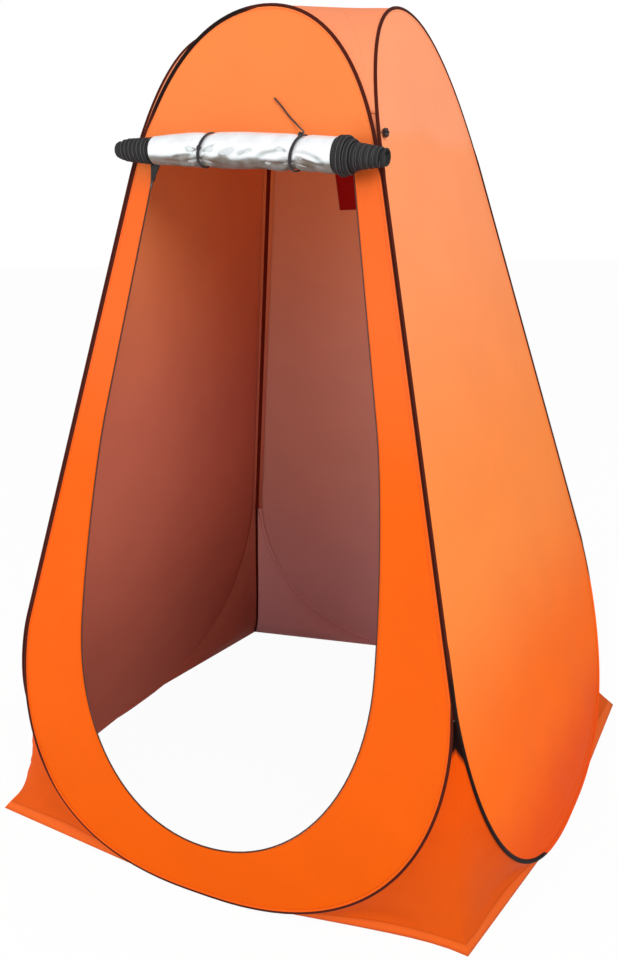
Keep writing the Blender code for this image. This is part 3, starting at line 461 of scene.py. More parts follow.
def bezier_slope(ends, t):
    s = 1 - t
    shares = (3 * s * s, 6 * s * t, 3 * t * t)
    steps = [(b[0] - a[0], b[1] - a[1]) for a, b in zip(ends, ends[1:])]
    return tuple(sum(share * step[i] for share, step in zip(shares, steps)) for i in (0, 1))


KNEE = (SHOULDER[0] + (SHOULDER[1] - KNEE_RISE) * SPLAY, KNEE_RISE)
LOWER_ARC = (
    (FOOT_HALF_WIDTH, 0),
    (LOBE_REACH, 0),
    (KNEE[0] + KNEE_REACH * SPLAY, KNEE[1] - KNEE_REACH),
    KNEE,
)
UPPER_ARC = (
    SHOULDER,
    (SHOULDER[0] - SHOULDER_REACH * SPLAY, SHOULDER[1] + SHOULDER_REACH),
    (CROWN_REACH, HOOP_RISE),
    (0, HOOP_RISE),
)


def arc_point(arc, t, inset=0.0):
    """A point of a hoop's right half, moved towards the hoop's middle by inset."""
    x, y = bezier(arc, t)
    dx, dy = bezier_slope(arc, t)
    length = math.hypot(dx, dy)
    return (x - inset * dy / length, y + inset * dx / length)


def arc_points(arc, start, end, steps, inset=0.0):
    return [arc_point(arc, start + (end - start) * i / steps, inset) for i in range(steps + 1)]


def half_hoop(inset=0.0, steps=40):
    """The right half of a hoop, from the foot's middle to the crown."""
    lower, upper = (arc_points(arc, 0, 1, steps, inset) for arc in (LOWER_ARC, UPPER_ARC))
    return [(0, inset)] + lower + upper


def whole(half):
    """A half outline and its mirror image, once round."""
    return half + [(-x, y) for x, y in reversed(half[1:-1])] + [half[0]]


def reaches(points):
    """Each point's distance along a line from its first point."""
    reach = [0.0]
    for a, b in zip(points, points[1:]):
        reach.append(reach[-1] + (Vector(b) - Vector(a)).length)
    return reach


def line_length(points):
    return reaches(points)[-1]


def even(points, count):
    """count + 1 points at even steps along a line."""
    points = [Vector(p) for p in points]
    reach = reaches(points)
    made, k = [], 0
    for i in range(count + 1):
        want = reach[-1] * i / count
        while k < len(points) - 2 and reach[k + 1] < want:
            k += 1
        span = reach[k + 1] - reach[k]
        made.append(points[k].lerp(points[k + 1], (want - reach[k]) / span if span else 0.0))
    return made


def half_opening(steps=24):
    """The right half of the door opening, from the sill's middle up to the head's."""
    side, widest, radius = OPENING_SIDE, OPENING_WIDEST, OPENING_HEAD_RADIUS
    corner = Vector((side[0] - (OPENING_HEAD - side[1]) * OPENING_SPLAY, OPENING_HEAD))
    lean = math.hypot(1, OPENING_SPLAY)
    turn_end = corner + Vector((radius * OPENING_SPLAY / lean, -radius / lean))
    turn_start = corner - Vector((radius, 0))
    bowl = (
        (0, OPENING_SILL),
        (OPENING_ROUNDNESS * widest[0], OPENING_SILL),
        (widest[0], widest[1] - OPENING_ROUNDNESS * (widest[1] - OPENING_SILL)),
        widest,
    )
    below = (side[0] + OPENING_HANDLES[0] * OPENING_SPLAY, side[1] - OPENING_HANDLES[0])
    knee = (widest, (widest[0], widest[1] + OPENING_HANDLES[1]), below, side)
    points = [bezier(bowl, i / steps) for i in range(steps + 1)]
    points += [bezier(knee, i / steps) for i in range(1, steps + 1)]
    for t in (i / 6 for i in range(7)):
        points.append(tuple(turn_end.lerp(corner, t).lerp(corner.lerp(turn_start, t), t)))
    return points + [(0, OPENING_HEAD)]


def panel_frames():
    """The frame of each panel, from the crimp at its foot: x along the foot, y up, z outward."""
    frames = {}
    for name, turn in TURNS.items():
        low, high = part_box(f"{name}_ferrule")
        lean = Matrix.Rotation(math.pi / 2 - LEAN, 4, "X")
        frames[name] = Matrix.Translation((low + high) / 2) @ Matrix.Rotation(turn, 4, "Z") @ lean
    return frames


FRAMES = panel_frames()
MIDDLE_Y = (FRAMES["front"].translation.y + FRAMES["back"].translation.y) / 2
ROLL_PLACE = FRAMES["front"] @ Matrix.Translation((*ROLL_CENTRE, ROLL_STANDOFF))
ROLL_PLACE = ROLL_PLACE @ Matrix.Rotation(ROLL_TILT, 4, "Z")
ROLL_TURN = ROLL_PLACE.to_3x3()


def panel_point(panel, x, y, lift=0.0):
    return FRAMES[panel] @ Vector((x, y, lift))


def side_points(side, spots, lift):
    """Spots of a hoop's right half on one side of a panel, given as (panel, 1 or -1)."""
    return [panel_point(side[0], side[1] * x, y, lift) for x, y in spots]


def profile_value(profile, share):
    """The value at share, in straight lines between the profile's own (share, value) pairs."""
    for (start, low), (end, high) in zip(profile, profile[1:]):
        if share <= end:
            return low + (high - low) * (share - start) / (end - start)
    return profile[-1][1]


def ease(share):
    share = max(0.0, min(1.0, share))
    return share * share * (3 - 2 * share)


def above(value, start, fade):
    """0 up to start, rising to 1 over fade."""
    return ease((value - start) / fade)


def below(value, start, fade):
    """0 down to start, rising to 1 over fade."""
    return ease((start - value) / fade)


def hump(distance, reach):
    """1 at no distance, falling smoothly to 0 past its reach."""
    return math.exp(-((distance / reach) ** 2))


def wave(x, y, z, pitch):
    """Smooth noise from -1 to 1 with features about pitch across."""
    return noise.noise(Vector((x, y, z)) / pitch)


def distance_to_line(spot, start, end):
    way = end - start
    share = max(0.0, min(1.0, (spot - start).dot(way) / way.length_squared))
    return (spot - start.lerp(end, share)).length


# ---------------------------------------------------------------- meshes


def new_piece(name, shape):
    """A piece with the faces of a bmesh, which it frees."""
    data = bpy.data.meshes.new(name)
    shape.to_mesh(data)
    shape.free()
    data.shade_smooth()
    data.set_sharp_from_angle(angle=SMOOTH_ANGLE)
    piece = bpy.data.objects.new(name, data)
    bpy.context.scene.collection.objects.link(piece)
    return piece


def grid_piece(name, columns, rows, place, closed=False, caps=False, second=None):
    """A piece made from a grid: place(s, t) gives the point, its flat cloth coordinates and its
    edge attribute, mostly the distance from the nearest edge, for s and t from 0 to 1.
    second(s, t) gives the number of the finish that a face wears."""
    shape = bmesh.new()
    bmesh.ops.create_grid(shape, x_segments=columns, y_segments=rows, size=0.5)
    if second:
        for face in shape.faces:
            middle = face.calc_center_median()
            face.material_index = second(middle.x + 0.5, middle.y + 0.5)
    cloth = shape.loops.layers.uv.new("cloth")
    edge = shape.verts.layers.float.new("edge")
    flat = {}
    for vert in shape.verts:
        s, t = vert.co.x + 0.5, vert.co.y + 0.5
        vert.co, flat[vert], vert[edge] = place(s, t)
    for face in shape.faces:
        for loop in face.loops:
            loop[cloth].uv = flat[loop.vert]
    bmesh.ops.remove_doubles(shape, verts=shape.verts, dist=MERGE)
    bmesh.ops.dissolve_degenerate(shape, edges=shape.edges, dist=MERGE / 4)
    if caps:
        rim = [e for e in shape.edges if e.is_boundary]
        bmesh.ops.holes_fill(shape, edges=rim, sides=0)
    if closed:
        bmesh.ops.recalc_face_normals(shape, faces=shape.faces)
        if shape.calc_volume(signed=True) < 0:
            bmesh.ops.reverse_faces(shape, faces=shape.faces)
    return new_piece(name, shape)


def face_away(piece, centre):
    """Turns a sheet over if most of its faces look towards centre."""
    shape = bmesh.new()
    shape.from_mesh(piece.data)
    ways = ((f.calc_center_median() - centre, f) for f in shape.faces)
    if sum(face.normal.dot(way) * face.calc_area() for way, face in ways) < 0:
        bmesh.ops.reverse_faces(shape, faces=shape.faces)
    shape.to_mesh(piece.data)
    shape.free()


def sweep(name, stations, section, ring=False, mark=None):
    """A piece whose section is carried along stations, (origin, x axis, y axis) each. section is
    a closed outline, or a function of the station's index that gives one. mark(index) is the
    number that the piece's edge attribute takes there."""
    outline = section if callable(section) else lambda index: section
    around = len(outline(0))
    last = len(stations) if ring else len(stations) - 1
    reach = reaches([stations[i % len(stations)][0] for i in range(last + 1)])
    girth = line_length(outline(0) + [outline(0)[0]])

    def place(s, t):
        i = round(t * last)
        index = i % len(stations)
        x, y = outline(index)[round(s * around) % around]
        origin, across, up = stations[index]
        return origin + across * x + up * y, (reach[i], girth * s), mark(index) if mark else 0.0

    return grid_piece(name, around, last, place, closed=True, caps=not ring)


def loop_stations(name, outline):
    """Stations along a closed outline in a panel's plane: x towards its middle, y outward."""
    turn = FRAMES[name].to_3x3()
    made = []
    for i, point in enumerate(outline):
        along = (outline[(i + 1) % len(outline)] - outline[i - 1]).normalized()
        inward = turn @ Vector((-along.y, along.x, 0))
        made.append((panel_point(name, *point), inward, turn @ Vector((0, 0, 1))))
    return made


def cord_stations(points, held=None):
    """Stations along a free line, with a section that doesn't twist or, where held is given,
    whose x axis keeps to that direction."""
    made, side = [], held
    for i, point in enumerate(points):
        along = (points[min(i + 1, len(points) - 1)] - points[max(i - 1, 0)]).normalized()
        side = held or side or along.orthogonal()
        side = (side - along * side.dot(along)).normalized()
        made.append((point, side, along.cross(side)))
    return made


def circle(radius, count):
    turns = [2 * math.pi * k / count for k in range(count)]
    return [(radius * math.cos(turn), radius * math.sin(turn)) for turn in turns]


def smooth_line(route, per_span):
    """Points read from a smooth curve through the route's own points."""
    points = [Vector(p) for p in route]
    padded = [2 * points[0] - points[1]] + points + [2 * points[-1] - points[-2]]
    made = []
    for a, b, c, d in zip(padded, padded[1:], padded[2:], padded[3:]):
        for t in (i / per_span for i in range(per_span)):
            bend = (2 * a - 5 * b + 4 * c - d) * t**2
            twist = (3 * b - a - 3 * c + d) * t**3
            made.append((2 * b + (c - a) * t + bend + twist) / 2)
    return made + [points[-1]]


def add_wall(piece, thickness, lining=True):
    """The cloth's thickness, with the lining on its inner face."""
    wall = piece.modifiers.new("wall", "SOLIDIFY")
    wall.thickness = thickness
    wall.offset = 0.0
    wall.material_offset = 1 if lining else 0


# ---------------------------------------------------------------- finishes


class Value:
    """A shader's number that can stand in a sum: each operator adds the Math node it needs."""

    def __init__(self, finish, socket):
        self.finish = finish
        self.socket = socket

    def __add__(self, other):
        return self.finish.maths("ADD", self, other)

    def __sub__(self, other):
        return self.finish.maths("SUBTRACT", self, other)

    def __rsub__(self, other):
        return self.finish.maths("SUBTRACT", other, self)

    def __mul__(self, other):
        return self.finish.maths("MULTIPLY", self, other)

    def __truediv__(self, other):
        return self.finish.maths("DIVIDE", self, other)

    __radd__ = __add__
    __rmul__ = __mul__


class Finish:
    """A material made of a Principled shader and the nodes that feed it."""

    def __init__(self, name, roughness, **constants):
        self.material = bpy.data.materials.new(name)
        self.material.use_nodes = True
        self.tree = self.material.node_tree
        self.shader = self.tree.nodes["Principled BSDF"]
        self.shader.inputs["Roughness"].default_value = roughness
        for key, value in constants.items():
            self.shader.inputs[key.replace("_", " ")].default_value = value

    def node(self, kind, settings, sockets):
        """One node: its type, its settings, then the values or links of its sockets."""
        made = self.tree.nodes.new(kind)
        for key, value in settings.items():
            if key == "stops":
                self.set_stops(made.color_ramp, value)
            else:
                setattr(made, key, value)
        for key, value in sockets.items():
            value = value.socket if isinstance(value, Value) else value
            if isinstance(value, bpy.types.NodeSocket):
                self.tree.links.new(value, made.inputs[key])
            else:
                made.inputs[key].default_value = value
        return made

    @staticmethod
    def set_stops(ramp, stops):
        ramp.interpolation = "EASE"
        while len(ramp.elements) < len(stops):
            ramp.elements.new(1.0)
        for element, (position, colour) in zip(ramp.elements, stops):
            element.position = position
            element.color = (*colour, 1)

    def maths(self, operation, *values):
        made = self.node("ShaderNodeMath", {"operation": operation}, dict(enumerate(values)))
        return Value(self, made.outputs[0])

    def clamped(self, value):
        return Value(self, self.node("ShaderNodeClamp", {}, {0: value}).outputs[0])

    def line(self, value, slope):
        """1 where value is 0, falling to 0 on both sides by its slope."""
        return self.clamped(1 - self.maths("ABSOLUTE", value) * slope)

    def beat(self, value, pitch):
        """A sine that repeats as value grows by pitch."""
        return self.maths("SINE", value * (2 * math.pi / pitch))

    def flat(self):
        """The cloth's own flat coordinates, in metres: along and across."""
        return self.node("ShaderNodeUVMap", {"uv_map": "cloth"}, {}).outputs["UV"]

    def parts(self, vector):
        made = self.node("ShaderNodeSeparateXYZ", {}, {0: vector})
        return [Value(self, socket) for socket in made.outputs]

    def place(self):
        return self.node("ShaderNodeTexCoord", {}, {}).outputs["Object"]

    def height(self):
        """Height above the ground as a share of the tent's."""
        return self.parts(self.place())[2] / HEIGHT

    def edge(self):
        """The piece's edge attribute, mostly the distance from its nearest edge in metres."""
        made = self.node("ShaderNodeAttribute", {"attribute_name": "edge"}, {})
        return Value(self, made.outputs["Fac"])

    def grain(self, vector, scale, detail=2.0, stretch=(1, 1, 1)):
        """Noise from 0 to 1 on a vector, stretched where its scales differ."""
        mapped = self.node("ShaderNodeMapping", {}, {"Vector": vector, "Scale": stretch})
        sockets = {"Vector": mapped.outputs[0], "Scale": scale, "Detail": detail}
        return Value(self, self.node("ShaderNodeTexNoise", {}, sockets).outputs["Fac"])

    def weave(self, flat):
        """Threads of plain cloth, one way and the other."""
        return self.grain(flat, *WEAVE, WARP), self.grain(flat, *WEAVE, WEFT)

    def rib(self):
        """Fine ribs across a tape."""
        return self.grain(self.flat(), *TAPE_RIBS)

    def ramp(self, value, stops):
        return self.node("ShaderNodeValToRGB", {"stops": stops}, {0: value}).outputs["Color"]

    def mixed(self, share, first, second, blend="MIX"):
        """A colour between two, or the first one blended with the second."""
        ends = (c if isinstance(c, bpy.types.NodeSocket) else (*c, 1) for c in (first, second))
        settings = {"data_type": "RGBA", "blend_type": blend}
        return self.node("ShaderNodeMix", settings, dict(zip((0, 6, 7), (share, *ends)))).outputs[2]

    def shade(self, colour, value, low, high):
        """The colour made darker or lighter where value goes from 0 to 1."""
        grey = self.ramp(value, [(0.0, (low,) * 3), (1.0, (high,) * 3)])
        return self.mixed(1.0, colour, grey, "MULTIPLY")

    def done(self, colour, height, depth, roughness=None):
        """The material with its colour, roughness and a surface that height, a value from 0 to 1,
        raises by depth in metres."""
        self.tree.links.new(colour, self.shader.inputs["Base Color"])
        if roughness:
            self.tree.links.new(roughness.socket, self.shader.inputs["Roughness"])
        sockets = {"Height": height, "Distance": depth, "Strength": 1.0}
        bump = self.node("ShaderNodeBump", {}, sockets)
        self.tree.links.new(bump.outputs[0], self.shader.inputs["Normal"])
        return self.material


def cloth_finish(name, stops, sheen=0.0, roughness=0.6):
    """Coated plain-weave cloth whose colour changes with height as its stops say, mostly painted
    light that is paler higher up.
    """
    finish = Finish(name, roughness, Sheen_Weight=sheen, Specular_IOR_Level=CLOTH_GLOSS)
    flat = finish.flat()
    warp, weft = finish.weave(flat)
    mottle = finish.grain(flat, 5, 3.0)
    colour = finish.ramp(finish.height() + (mottle - 0.5) * 0.04, stops)
    colour = finish.shade(colour, warp * 0.5 + weft * 0.5, 0.90, 1.06)
    colour = finish.shade(colour, mottle, 0.95, 1.04)
    return finish.done(colour, warp + weft, 0.00012, roughness - 0.1 + mottle * 0.2)


def hemmed_finish(name, stops):
    """Cloth with a turned hem, painted paler as a highlight and with a painted shadow along its
    fold, and its row of stitches near the piece's edge. Its top corner is painted in the shaded
    bindings'
    colour: partly the dark bindings closed over it, partly painted shade."""
    hem = sizes().hem
    finish = Finish(name, 0.6, Specular_IOR_Level=CLOTH_GLOSS)
    flat = finish.flat()
    along, drop, _ = finish.parts(flat)
    warp, weft = finish.weave(flat)
    mottle = finish.grain(flat, 9, 3.0)
    edge = finish.edge()
    band = finish.clamped((hem - edge) * 900)
    fold = finish.line(edge - hem, 280)
    beside = finish.maths("MAXIMUM", along * 1.5, along * -0.5)
    bindings_and_shade = finish.clamped((0.070 - drop + beside) * 60) * finish.clamped((0.17 - drop) * 30)
    dash = finish.clamped(finish.beat(along, sizes().stitch) * 3 + 1)
    stitch = finish.line(edge - 0.82 * hem, 1400) * dash
    colour = finish.ramp(finish.height(), stops)
    colour = finish.shade(colour, warp * 0.5 + weft * 0.5, 0.90, 1.06)
    colour = finish.shade(colour, mottle, 0.93, 1.05)
    # Painted highlight on the hem, a painted shadow line along its fold, and over the top corner
    # the bindings' colour, partly the bindings and partly painted shade.
    colour = finish.mixed(band * 0.38, colour, colours().hem)
    colour = finish.shade(colour, fold, 1.0, 0.86)
    colour = finish.mixed(stitch * 0.6, colour, colours().hem_stitch)
    colour = finish.mixed(bindings_and_shade, colour, colours().binding_dark)
    return finish.done(colour, warp * 0.1 + weft * 0.1 + band - stitch * 0.5, 0.0005)


def seam_tape_finish(name):
    """Woven tape with fine ribs across it."""
    finish = Finish(name, 0.8, Specular_IOR_Level=0.12)
    rib = finish.rib()
    colour = finish.shade(colours().seam_tape, rib, 0.6, 1.35)
    colour = finish.shade(colour, finish.grain(finish.flat(), 12, 3.0), 0.85, 1.2)
    return finish.done(colour, rib, 0.0002)


def binding_finish(name, cloth_stops, inner_stops):
    """A sleeve: cloth on its outer flange, ribbed dark tape round the tube and lining inside. The
    edge attribute says from which step of the section the tape starts. Where the tape covers the
    whole section it turns darker still, painted shade."""
    finish = Finish(name, 0.7, Specular_IOR_Level=0.12)
    flat = finish.flat()
    along, across, _ = finish.parts(flat)
    outline = sleeve_outline()
    step = across * (len(outline) / line_length(outline + [outline[0]]))
    start = finish.edge()
    tape = finish.clamped((step - start) * 5) * finish.clamped((TAPE_TO - step) * 5)
    inner = finish.clamped((step - TAPE_TO) * 5)
    rib = finish.rib()
    # Painted shade: darker still where the tape covers the whole sleeve.
    dark = finish.clamped(1 - start / 2)
    colour = finish.mixed(dark, colours().binding, colours().binding_dark)
    colour = finish.shade(colour, rib, 0.7, 1.3)
    colour = finish.shade(colour, finish.grain(flat, 12, 3.0), 0.85, 1.2)
    cloth = finish.shade(finish.ramp(finish.height(), cloth_stops), rib, 0.95, 1.04)
    colour = finish.mixed(tape, cloth, colour)
    colour = finish.mixed(inner, colour, finish.ramp(finish.height(), inner_stops))
    stitch = finish.clamped(finish.beat(along, sizes().stitch) * 3)
    stitch = stitch * finish.line(step - STITCH_STEP, 5)
    colour = finish.mixed(stitch * 0.5, colour, colours().binding_stitch)
    return finish.done(colour, rib + stitch, 0.0002)


def braid_finish(name, pitch=0.0026):
    """Braided cord: two sets of strands that cross on it."""
    finish = Finish(name, 0.8, Sheen_Weight=0.2, Sheen_Roughness=0.5)
    along, around, _ = finish.parts(finish.flat())
    first = finish.beat(along + around * 0.7, pitch)
    second = finish.beat(along - around * 0.7, pitch)
    strand = finish.clamped(finish.maths("MAXIMUM", first, second) * 0.5 + 0.5)
    fibre = finish.grain(finish.flat(), 900, 2.0)
    colour = finish.shade(colours().cord, strand, 0.55, 1.3)
    return finish.done(finish.shade(colour, fibre, 0.8, 1.2), strand + fibre * 0.3, 0.0003)


def silver_finish(name):
    """Silver-coated cloth: bright and slightly metallic, with painted shade in its creases and
    underneath, deepest with a painted brown reflection, as far as the edge attribute says."""
    finish = Finish(name, 0.38, Metallic=0.2)
    flat = finish.flat()
    fine = finish.grain(flat, 160, 3.0)
    crush = finish.grain(flat, 28, 4.0)
    colour = finish.shade(colours().silver, crush, 0.84, 1.05)
    colour = finish.shade(colour, fine, 0.95, 1.03)
    # Painted shade: grey in the creases, and deepest with a painted brown reflection underneath.
    painted_shade = finish.edge() * (0.7 + crush * 0.6)
    colour = finish.mixed(finish.clamped(painted_shade * 1.15) * 0.8, colour, colours().silver_shade)
    colour = finish.mixed(finish.clamped(painted_shade * 2.2 - 1.4), colour, colours().silver_dull)
    return finish.done(colour, crush + fine * 0.25, 0.0009, 0.3 + crush * 0.25)


def metal_finish(name, base, roughness, metallic):
    """Cast or enamelled metal with a fine grain, brighter at random spots of wear."""
    finish = Finish(name, roughness, Metallic=metallic)
    grain = finish.grain(finish.place(), 900, 3.0)
    patches = finish.grain(finish.place(), 160, 2.0)
    colour = finish.shade(base, patches, 0.8, 1.25)
    return finish.done(colour, grain, 0.00005, roughness - 0.1 + grain * 0.2)


def moulded_finish(name, base):
    """Moulded plastic with a faint spark-eroded grain."""
    finish = Finish(name, 0.45)
    grain = finish.grain(finish.place(), 1500, 2.0)
    colour = finish.shade(base, grain, 0.85, 1.15)
    return finish.done(colour, grain, 0.00008, 0.4 + grain * 0.15)


def wound_tape_finish(name):
    """Wound tape: woven ribs with a painted highlight along each rib's crest, a paler stripe of
    random strength.
    """
    finish = Finish(name, 0.75, Specular_IOR_Level=0.35)
    across = finish.parts(finish.flat())[1]
    rib = finish.rib()
    patches = finish.grain(finish.flat(), 60, 3.0)
    # Painted highlight: a paler stripe along each rib's crest, its strength set by random patches.
    thread = finish.clamped(finish.beat(across, TAPE_CREST_PITCH) * 2.5 - 1.2)
    colour = finish.shade(colours().zip_tape, rib, 0.6, 1.3)
    colour = finish.mixed(thread * patches * 0.5, colour, colours().thread)
    return finish.done(colour, thread + rib * 0.4, 0.0003)


def opening_tape_finish(name):
    """The zip's tape round the opening, paler towards the opening's foot."""
    finish = Finish(name, 0.8, Specular_IOR_Level=0.2)
    rib = finish.rib()
    stops = [(0.15, colours().opening_tape_low), (0.60, colours().opening_tape)]
    colour = finish.shade(finish.ramp(finish.height(), stops), rib, 0.6, 1.35)
    return finish.done(colour, rib, 0.0002)


def seam_lining_finish(name, stops):
    """The lining with a dark bound seam along the gusset's crease; its weave shading darkens it
    overall, painted shade.
    """
    finish = Finish(name, 0.6, Specular_IOR_Level=CLOTH_GLOSS)
    across = finish.parts(finish.flat())[0]
    warp = finish.grain(finish.flat(), *WEAVE, WARP)
    seam = finish.clamped(1 - (finish.maths("ABSOLUTE", across) - 0.004) * 900)
    # Painted shade: the weave's shading stays below 1, so this lining is darker than the rest.
    colour = finish.shade(finish.ramp(finish.height(), stops), warp, 0.84, 0.97)
    colour = finish.mixed(seam, colour, colours().binding)
    return finish.done(colour, seam + warp * 0.1, 0.0006)


def stops_of(*pairs):
    """Stops of a ramp up the tent, from the names of their colours."""
    return [(share, getattr(colours(), key)) for share, key in pairs]


# Painted light: the front grows paler towards its crown, where more light falls.
def front_stops():
    return stops_of(
        (0.0, "front_low"),
        (0.30, "front_middle"),
        (0.45, "front_middle"),
        (0.66, "front_upper"),
        (0.80, "front_upper"),
        (0.87, "front_high"),
    )


def side_stops():
    """The sides' colours are painted light, paler towards the crown where more light falls; they
    turn paler and pinker still above a wavy line near the shoulders.
    """
    c = colours()
    below = tuple(0.35 * a + 0.65 * b for a, b in zip(c.side_middle, c.side_high))
    lower = stops_of((0.03, "side_low"), (0.15, "side_lower"), (0.40, "side_middle"))
    return lower + [(0.835, below), (0.865, c.side_high)]


def lining_stops(panel):
    """The lining's colours are painted light: the orange light through the cloth, darker towards
    the foot. The back panel's lining is the palest, because the most light falls on it.
    """
    kind = "back_lining" if panel == "back" else "lining"
    return stops_of((0.0, f"{kind}_low"), (0.45, f"{kind}_middle"), (0.90, f"{kind}_high"))


def shared(name, build, *rest, **settings):
    """A finish that several pieces share, built once."""
    return bpy.data.materials.get(name) or build(name, *rest, **settings)


def lining(panel=None):
    name = "back_lining" if panel == "back" else "lining"
    return shared(name, cloth_finish, lining_stops(panel), roughness=0.65)


# Painted light: the roof cloth is painted as pale as the panels' lit crowns.
def roof_cloth():
    return shared("roof_cloth", cloth_finish, stops_of((0.0, "roof"), (1.0, "roof")))


def cord_braid():
    return shared("cord_braid", braid_finish)


def zip_weave():
    return shared("zip_weave", wound_tape_finish)


def wear(piece, *finishes):
    """Puts finishes on a new piece, the first outside."""
    for finish in finishes:
        piece.data.materials.append(finish)


def refinish(node, finish):
    """Gives a CAD solid another finish."""
    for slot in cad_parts[node].material_slots:
        slot.material = finish


# ---------------------------------------------------------------- cloth shapes


def billow(panel, x, y, edge, room=1.0):
    """How far a panel's cloth stands out of its plane, less near its edges."""
    seed = 7.3 * list(TURNS).index(panel)
    broad = sum(
        height * wave(x, y, seed + 3 * i, pitch) for i, (pitch, height) in enumerate(BROAD_WAVES)
    )
    near = hump(edge, GATHER_REACH) * ease(edge / GATHER_FADE)
    gather = sizes().pucker * near * wave(x, y, seed + 9, GATHER_PITCH)
    pull = 0.0
    for corner in (KNEE, SHOULDER):
        for side in (-1, 1):
            dx, dy = x - side * corner[0], y - corner[1]
            fan = math.sin(CORNER_FANS * math.atan2(dy, -side * dx) + seed)
            faded = math.exp(-math.hypot(dx, dy) / CORNER_REACH) * ease(edge / CORNER_FADE)
            pull += CORNER_PULL * fan * faded
    if panel == "front":
        rise, reach, height = FRONT_CREASE
        bent = y - rise - CREASE_WANDER[0] * wave(x, 0, 5, CREASE_WANDER[1])
        pull += height * hump(bent, reach) * ease(edge / CREASE_FADE)
    elif panel == "right":
        inset, reach, depth = RIGHT_CREASE
        pull -= depth * hump(edge - inset, reach) * below(y, *RIGHT_CREASE_TOP)
    return room * (sizes().billow * broad * ease(edge / FREE_REACH) + pull) + gather


def make_side_panel(panel):
    """A closed panel: rows between the two sides of its hoop."""
    half = even(half_hoop(PANEL_INSET), sizes().steps // 2)

    def place(s, t):
        edge_x, y = half[round(t * (len(half) - 1))]
        x = (2 * s - 1) * edge_x
        edge = min(math.hypot(p.x - abs(x), p.y - y) for p in half)
        return panel_point(panel, x, y, billow(panel, x, y, edge)), (x, y), edge

    return grid_piece(f"cloth_{panel}", 64, len(half) - 1, place)


def roll_room(y):
    """How much the front panel may billow at a height: little behind the roll."""
    return above(abs(y - ROLL_CENTRE[1]), *ROLL_HIDES) * (1 - LEAST_ROOM) + LEAST_ROOM


def make_front_panel():
    """The front panel, a ring of cloth from its hoop in to the door opening."""
    steps = sizes().steps
    outer = even(whole(half_hoop(PANEL_INSET)), steps)
    opening = [Vector(p) for p in whole(half_opening())]
    inner = [ray_to_line(Vector((0, OPENING_MIDDLE)), point, opening) for point in outer]

    def place(s, t):
        i = round(s * steps) % steps
        start, end = outer[i], inner[i]
        spot = start.lerp(end, t)
        edge = min(t, 1 - t) * (end - start).length
        lift = billow("front", *spot, edge, roll_room(spot.y))
        return panel_point("front", *spot, lift), tuple(spot), edge

    return grid_piece("cloth_front", steps, 20, place)


def ray_to_line(start, towards, line):
    """Where the ray from start through towards meets a closed line round start."""
    way = towards - start
    for a, b in zip(line, line[1:]):
        span = b - a
        cross = way.x * span.y - way.y * span.x
        if abs(cross) < 1e-12:
            continue
        gap = a - start
        along = (gap.x * span.y - gap.y * span.x) / cross
        share = (gap.x * way.y - gap.y * way.x) / cross
        if along > 0 and -1e-9 <= share <= 1 + 1e-9:
            return start + way * along
    raise ValueError("no point of the opening lies that way")


def sleeve_outline(count=14):
    """Section of a binding, x towards the hoop's middle: a tube that closes into two flanges."""
    outer = []
    for k in range(count + 1):
        turn = SLEEVE_OPENS + (2 * math.pi - 2 * SLEEVE_OPENS) * k / count
        outer.append((SLEEVE_RADIUS * math.cos(turn), SLEEVE_RADIUS * math.sin(turn)))
    face, end = FLANGE_FACE, FLANGE_REACH
    upper = [(end, FLANGE_HALF_GAP), (end, face * 0.72), (end - FLANGE_BEVEL, face * 0.9)]
    upper.append((FLANGE_ROOT, face))
    return upper + outer + [(x, -y) for x, y in reversed(upper)]


def tape_start(panel, spot):
    """Where the dark tape starts on a binding's section: it is narrow along the seams, and wide
    round the front panel's left shoulder and the right panel's front foot, where it covers the
    whole sleeve, partly as painted shade. At the right panel's other foot it starts late, so that
    the cloth's colour on the sleeve paints a highlight."""
    low = arc_point(LOWER_ARC, GUSSET_ARC[0])[1]
    high = arc_point(UPPER_ARC, 0.3 * ROOF_ARC_START)[1]
    right_side, left_side = ease(spot.x / SIDE_FADE), ease(-spot.x / SIDE_FADE)
    along_seam = above(spot.y, low, SEAM_REACH) * below(spot.y, high, SEAM_REACH)
    start, seam, wide, lit_rim = TAPE_FROM, 0.0, 0.0, 0.0
    if panel == "front":
        seam = along_seam * right_side
        wide = above(spot.y, *SHADED_SHOULDER) * left_side
        foot = FRONT_FEET["left" if spot.x < 0 else "right"]
        start += (TAPE_FROM_FOOT - start) * below(spot.y, foot, FRONT_FOOT_FADE)
    elif panel == "right":
        near_foot = below(spot.x, *NEAR_FOOT)
        seam = along_seam * left_side
        wide = below(spot.y, *SHADED_FOOT) * near_foot
        lit_rim = below(spot.y, *LIT_FOOT) * (1 - near_foot)
    for share, end in ((seam, TAPE_FROM_SEAM), (wide, TAPE_FROM_SHADED), (lit_rim, TAPE_FROM_LIT)):
        start += (end - start) * share
    return start


def make_binding(panel):
    """The bound sleeve round a panel's edge."""
    line = even(whole(half_hoop()), sizes().steps)[:-1]

    def mark(index):
        return tape_start(panel, line[index])

    stations = loop_stations(panel, line)
    return sweep(f"binding_{panel}", stations, sleeve_outline(), ring=True, mark=mark)


def make_wire(panel):
    """The spring wire in a sleeve, whose two ends meet in the crimp at its foot."""
    line = even(whole(half_hoop()), sizes().steps)
    ring = [(WIRE_HALF_GAP, 0), *line[1:-1], (-WIRE_HALF_GAP, 0)]
    points = [panel_point(panel, *p) for p in ring]
    return sweep(f"wire_{panel}", cord_stations(points), circle(WIRE_RADIUS, 8))


def roof_edge(side):
    """Points behind one side of a panel's upper arc, from the corner up to its crown."""
    rising = arc_points(UPPER_ARC, ROOF_ARC_START, 1, ROOF_CHORDS)
    return side_points(side, rising, BEHIND_TUBE)


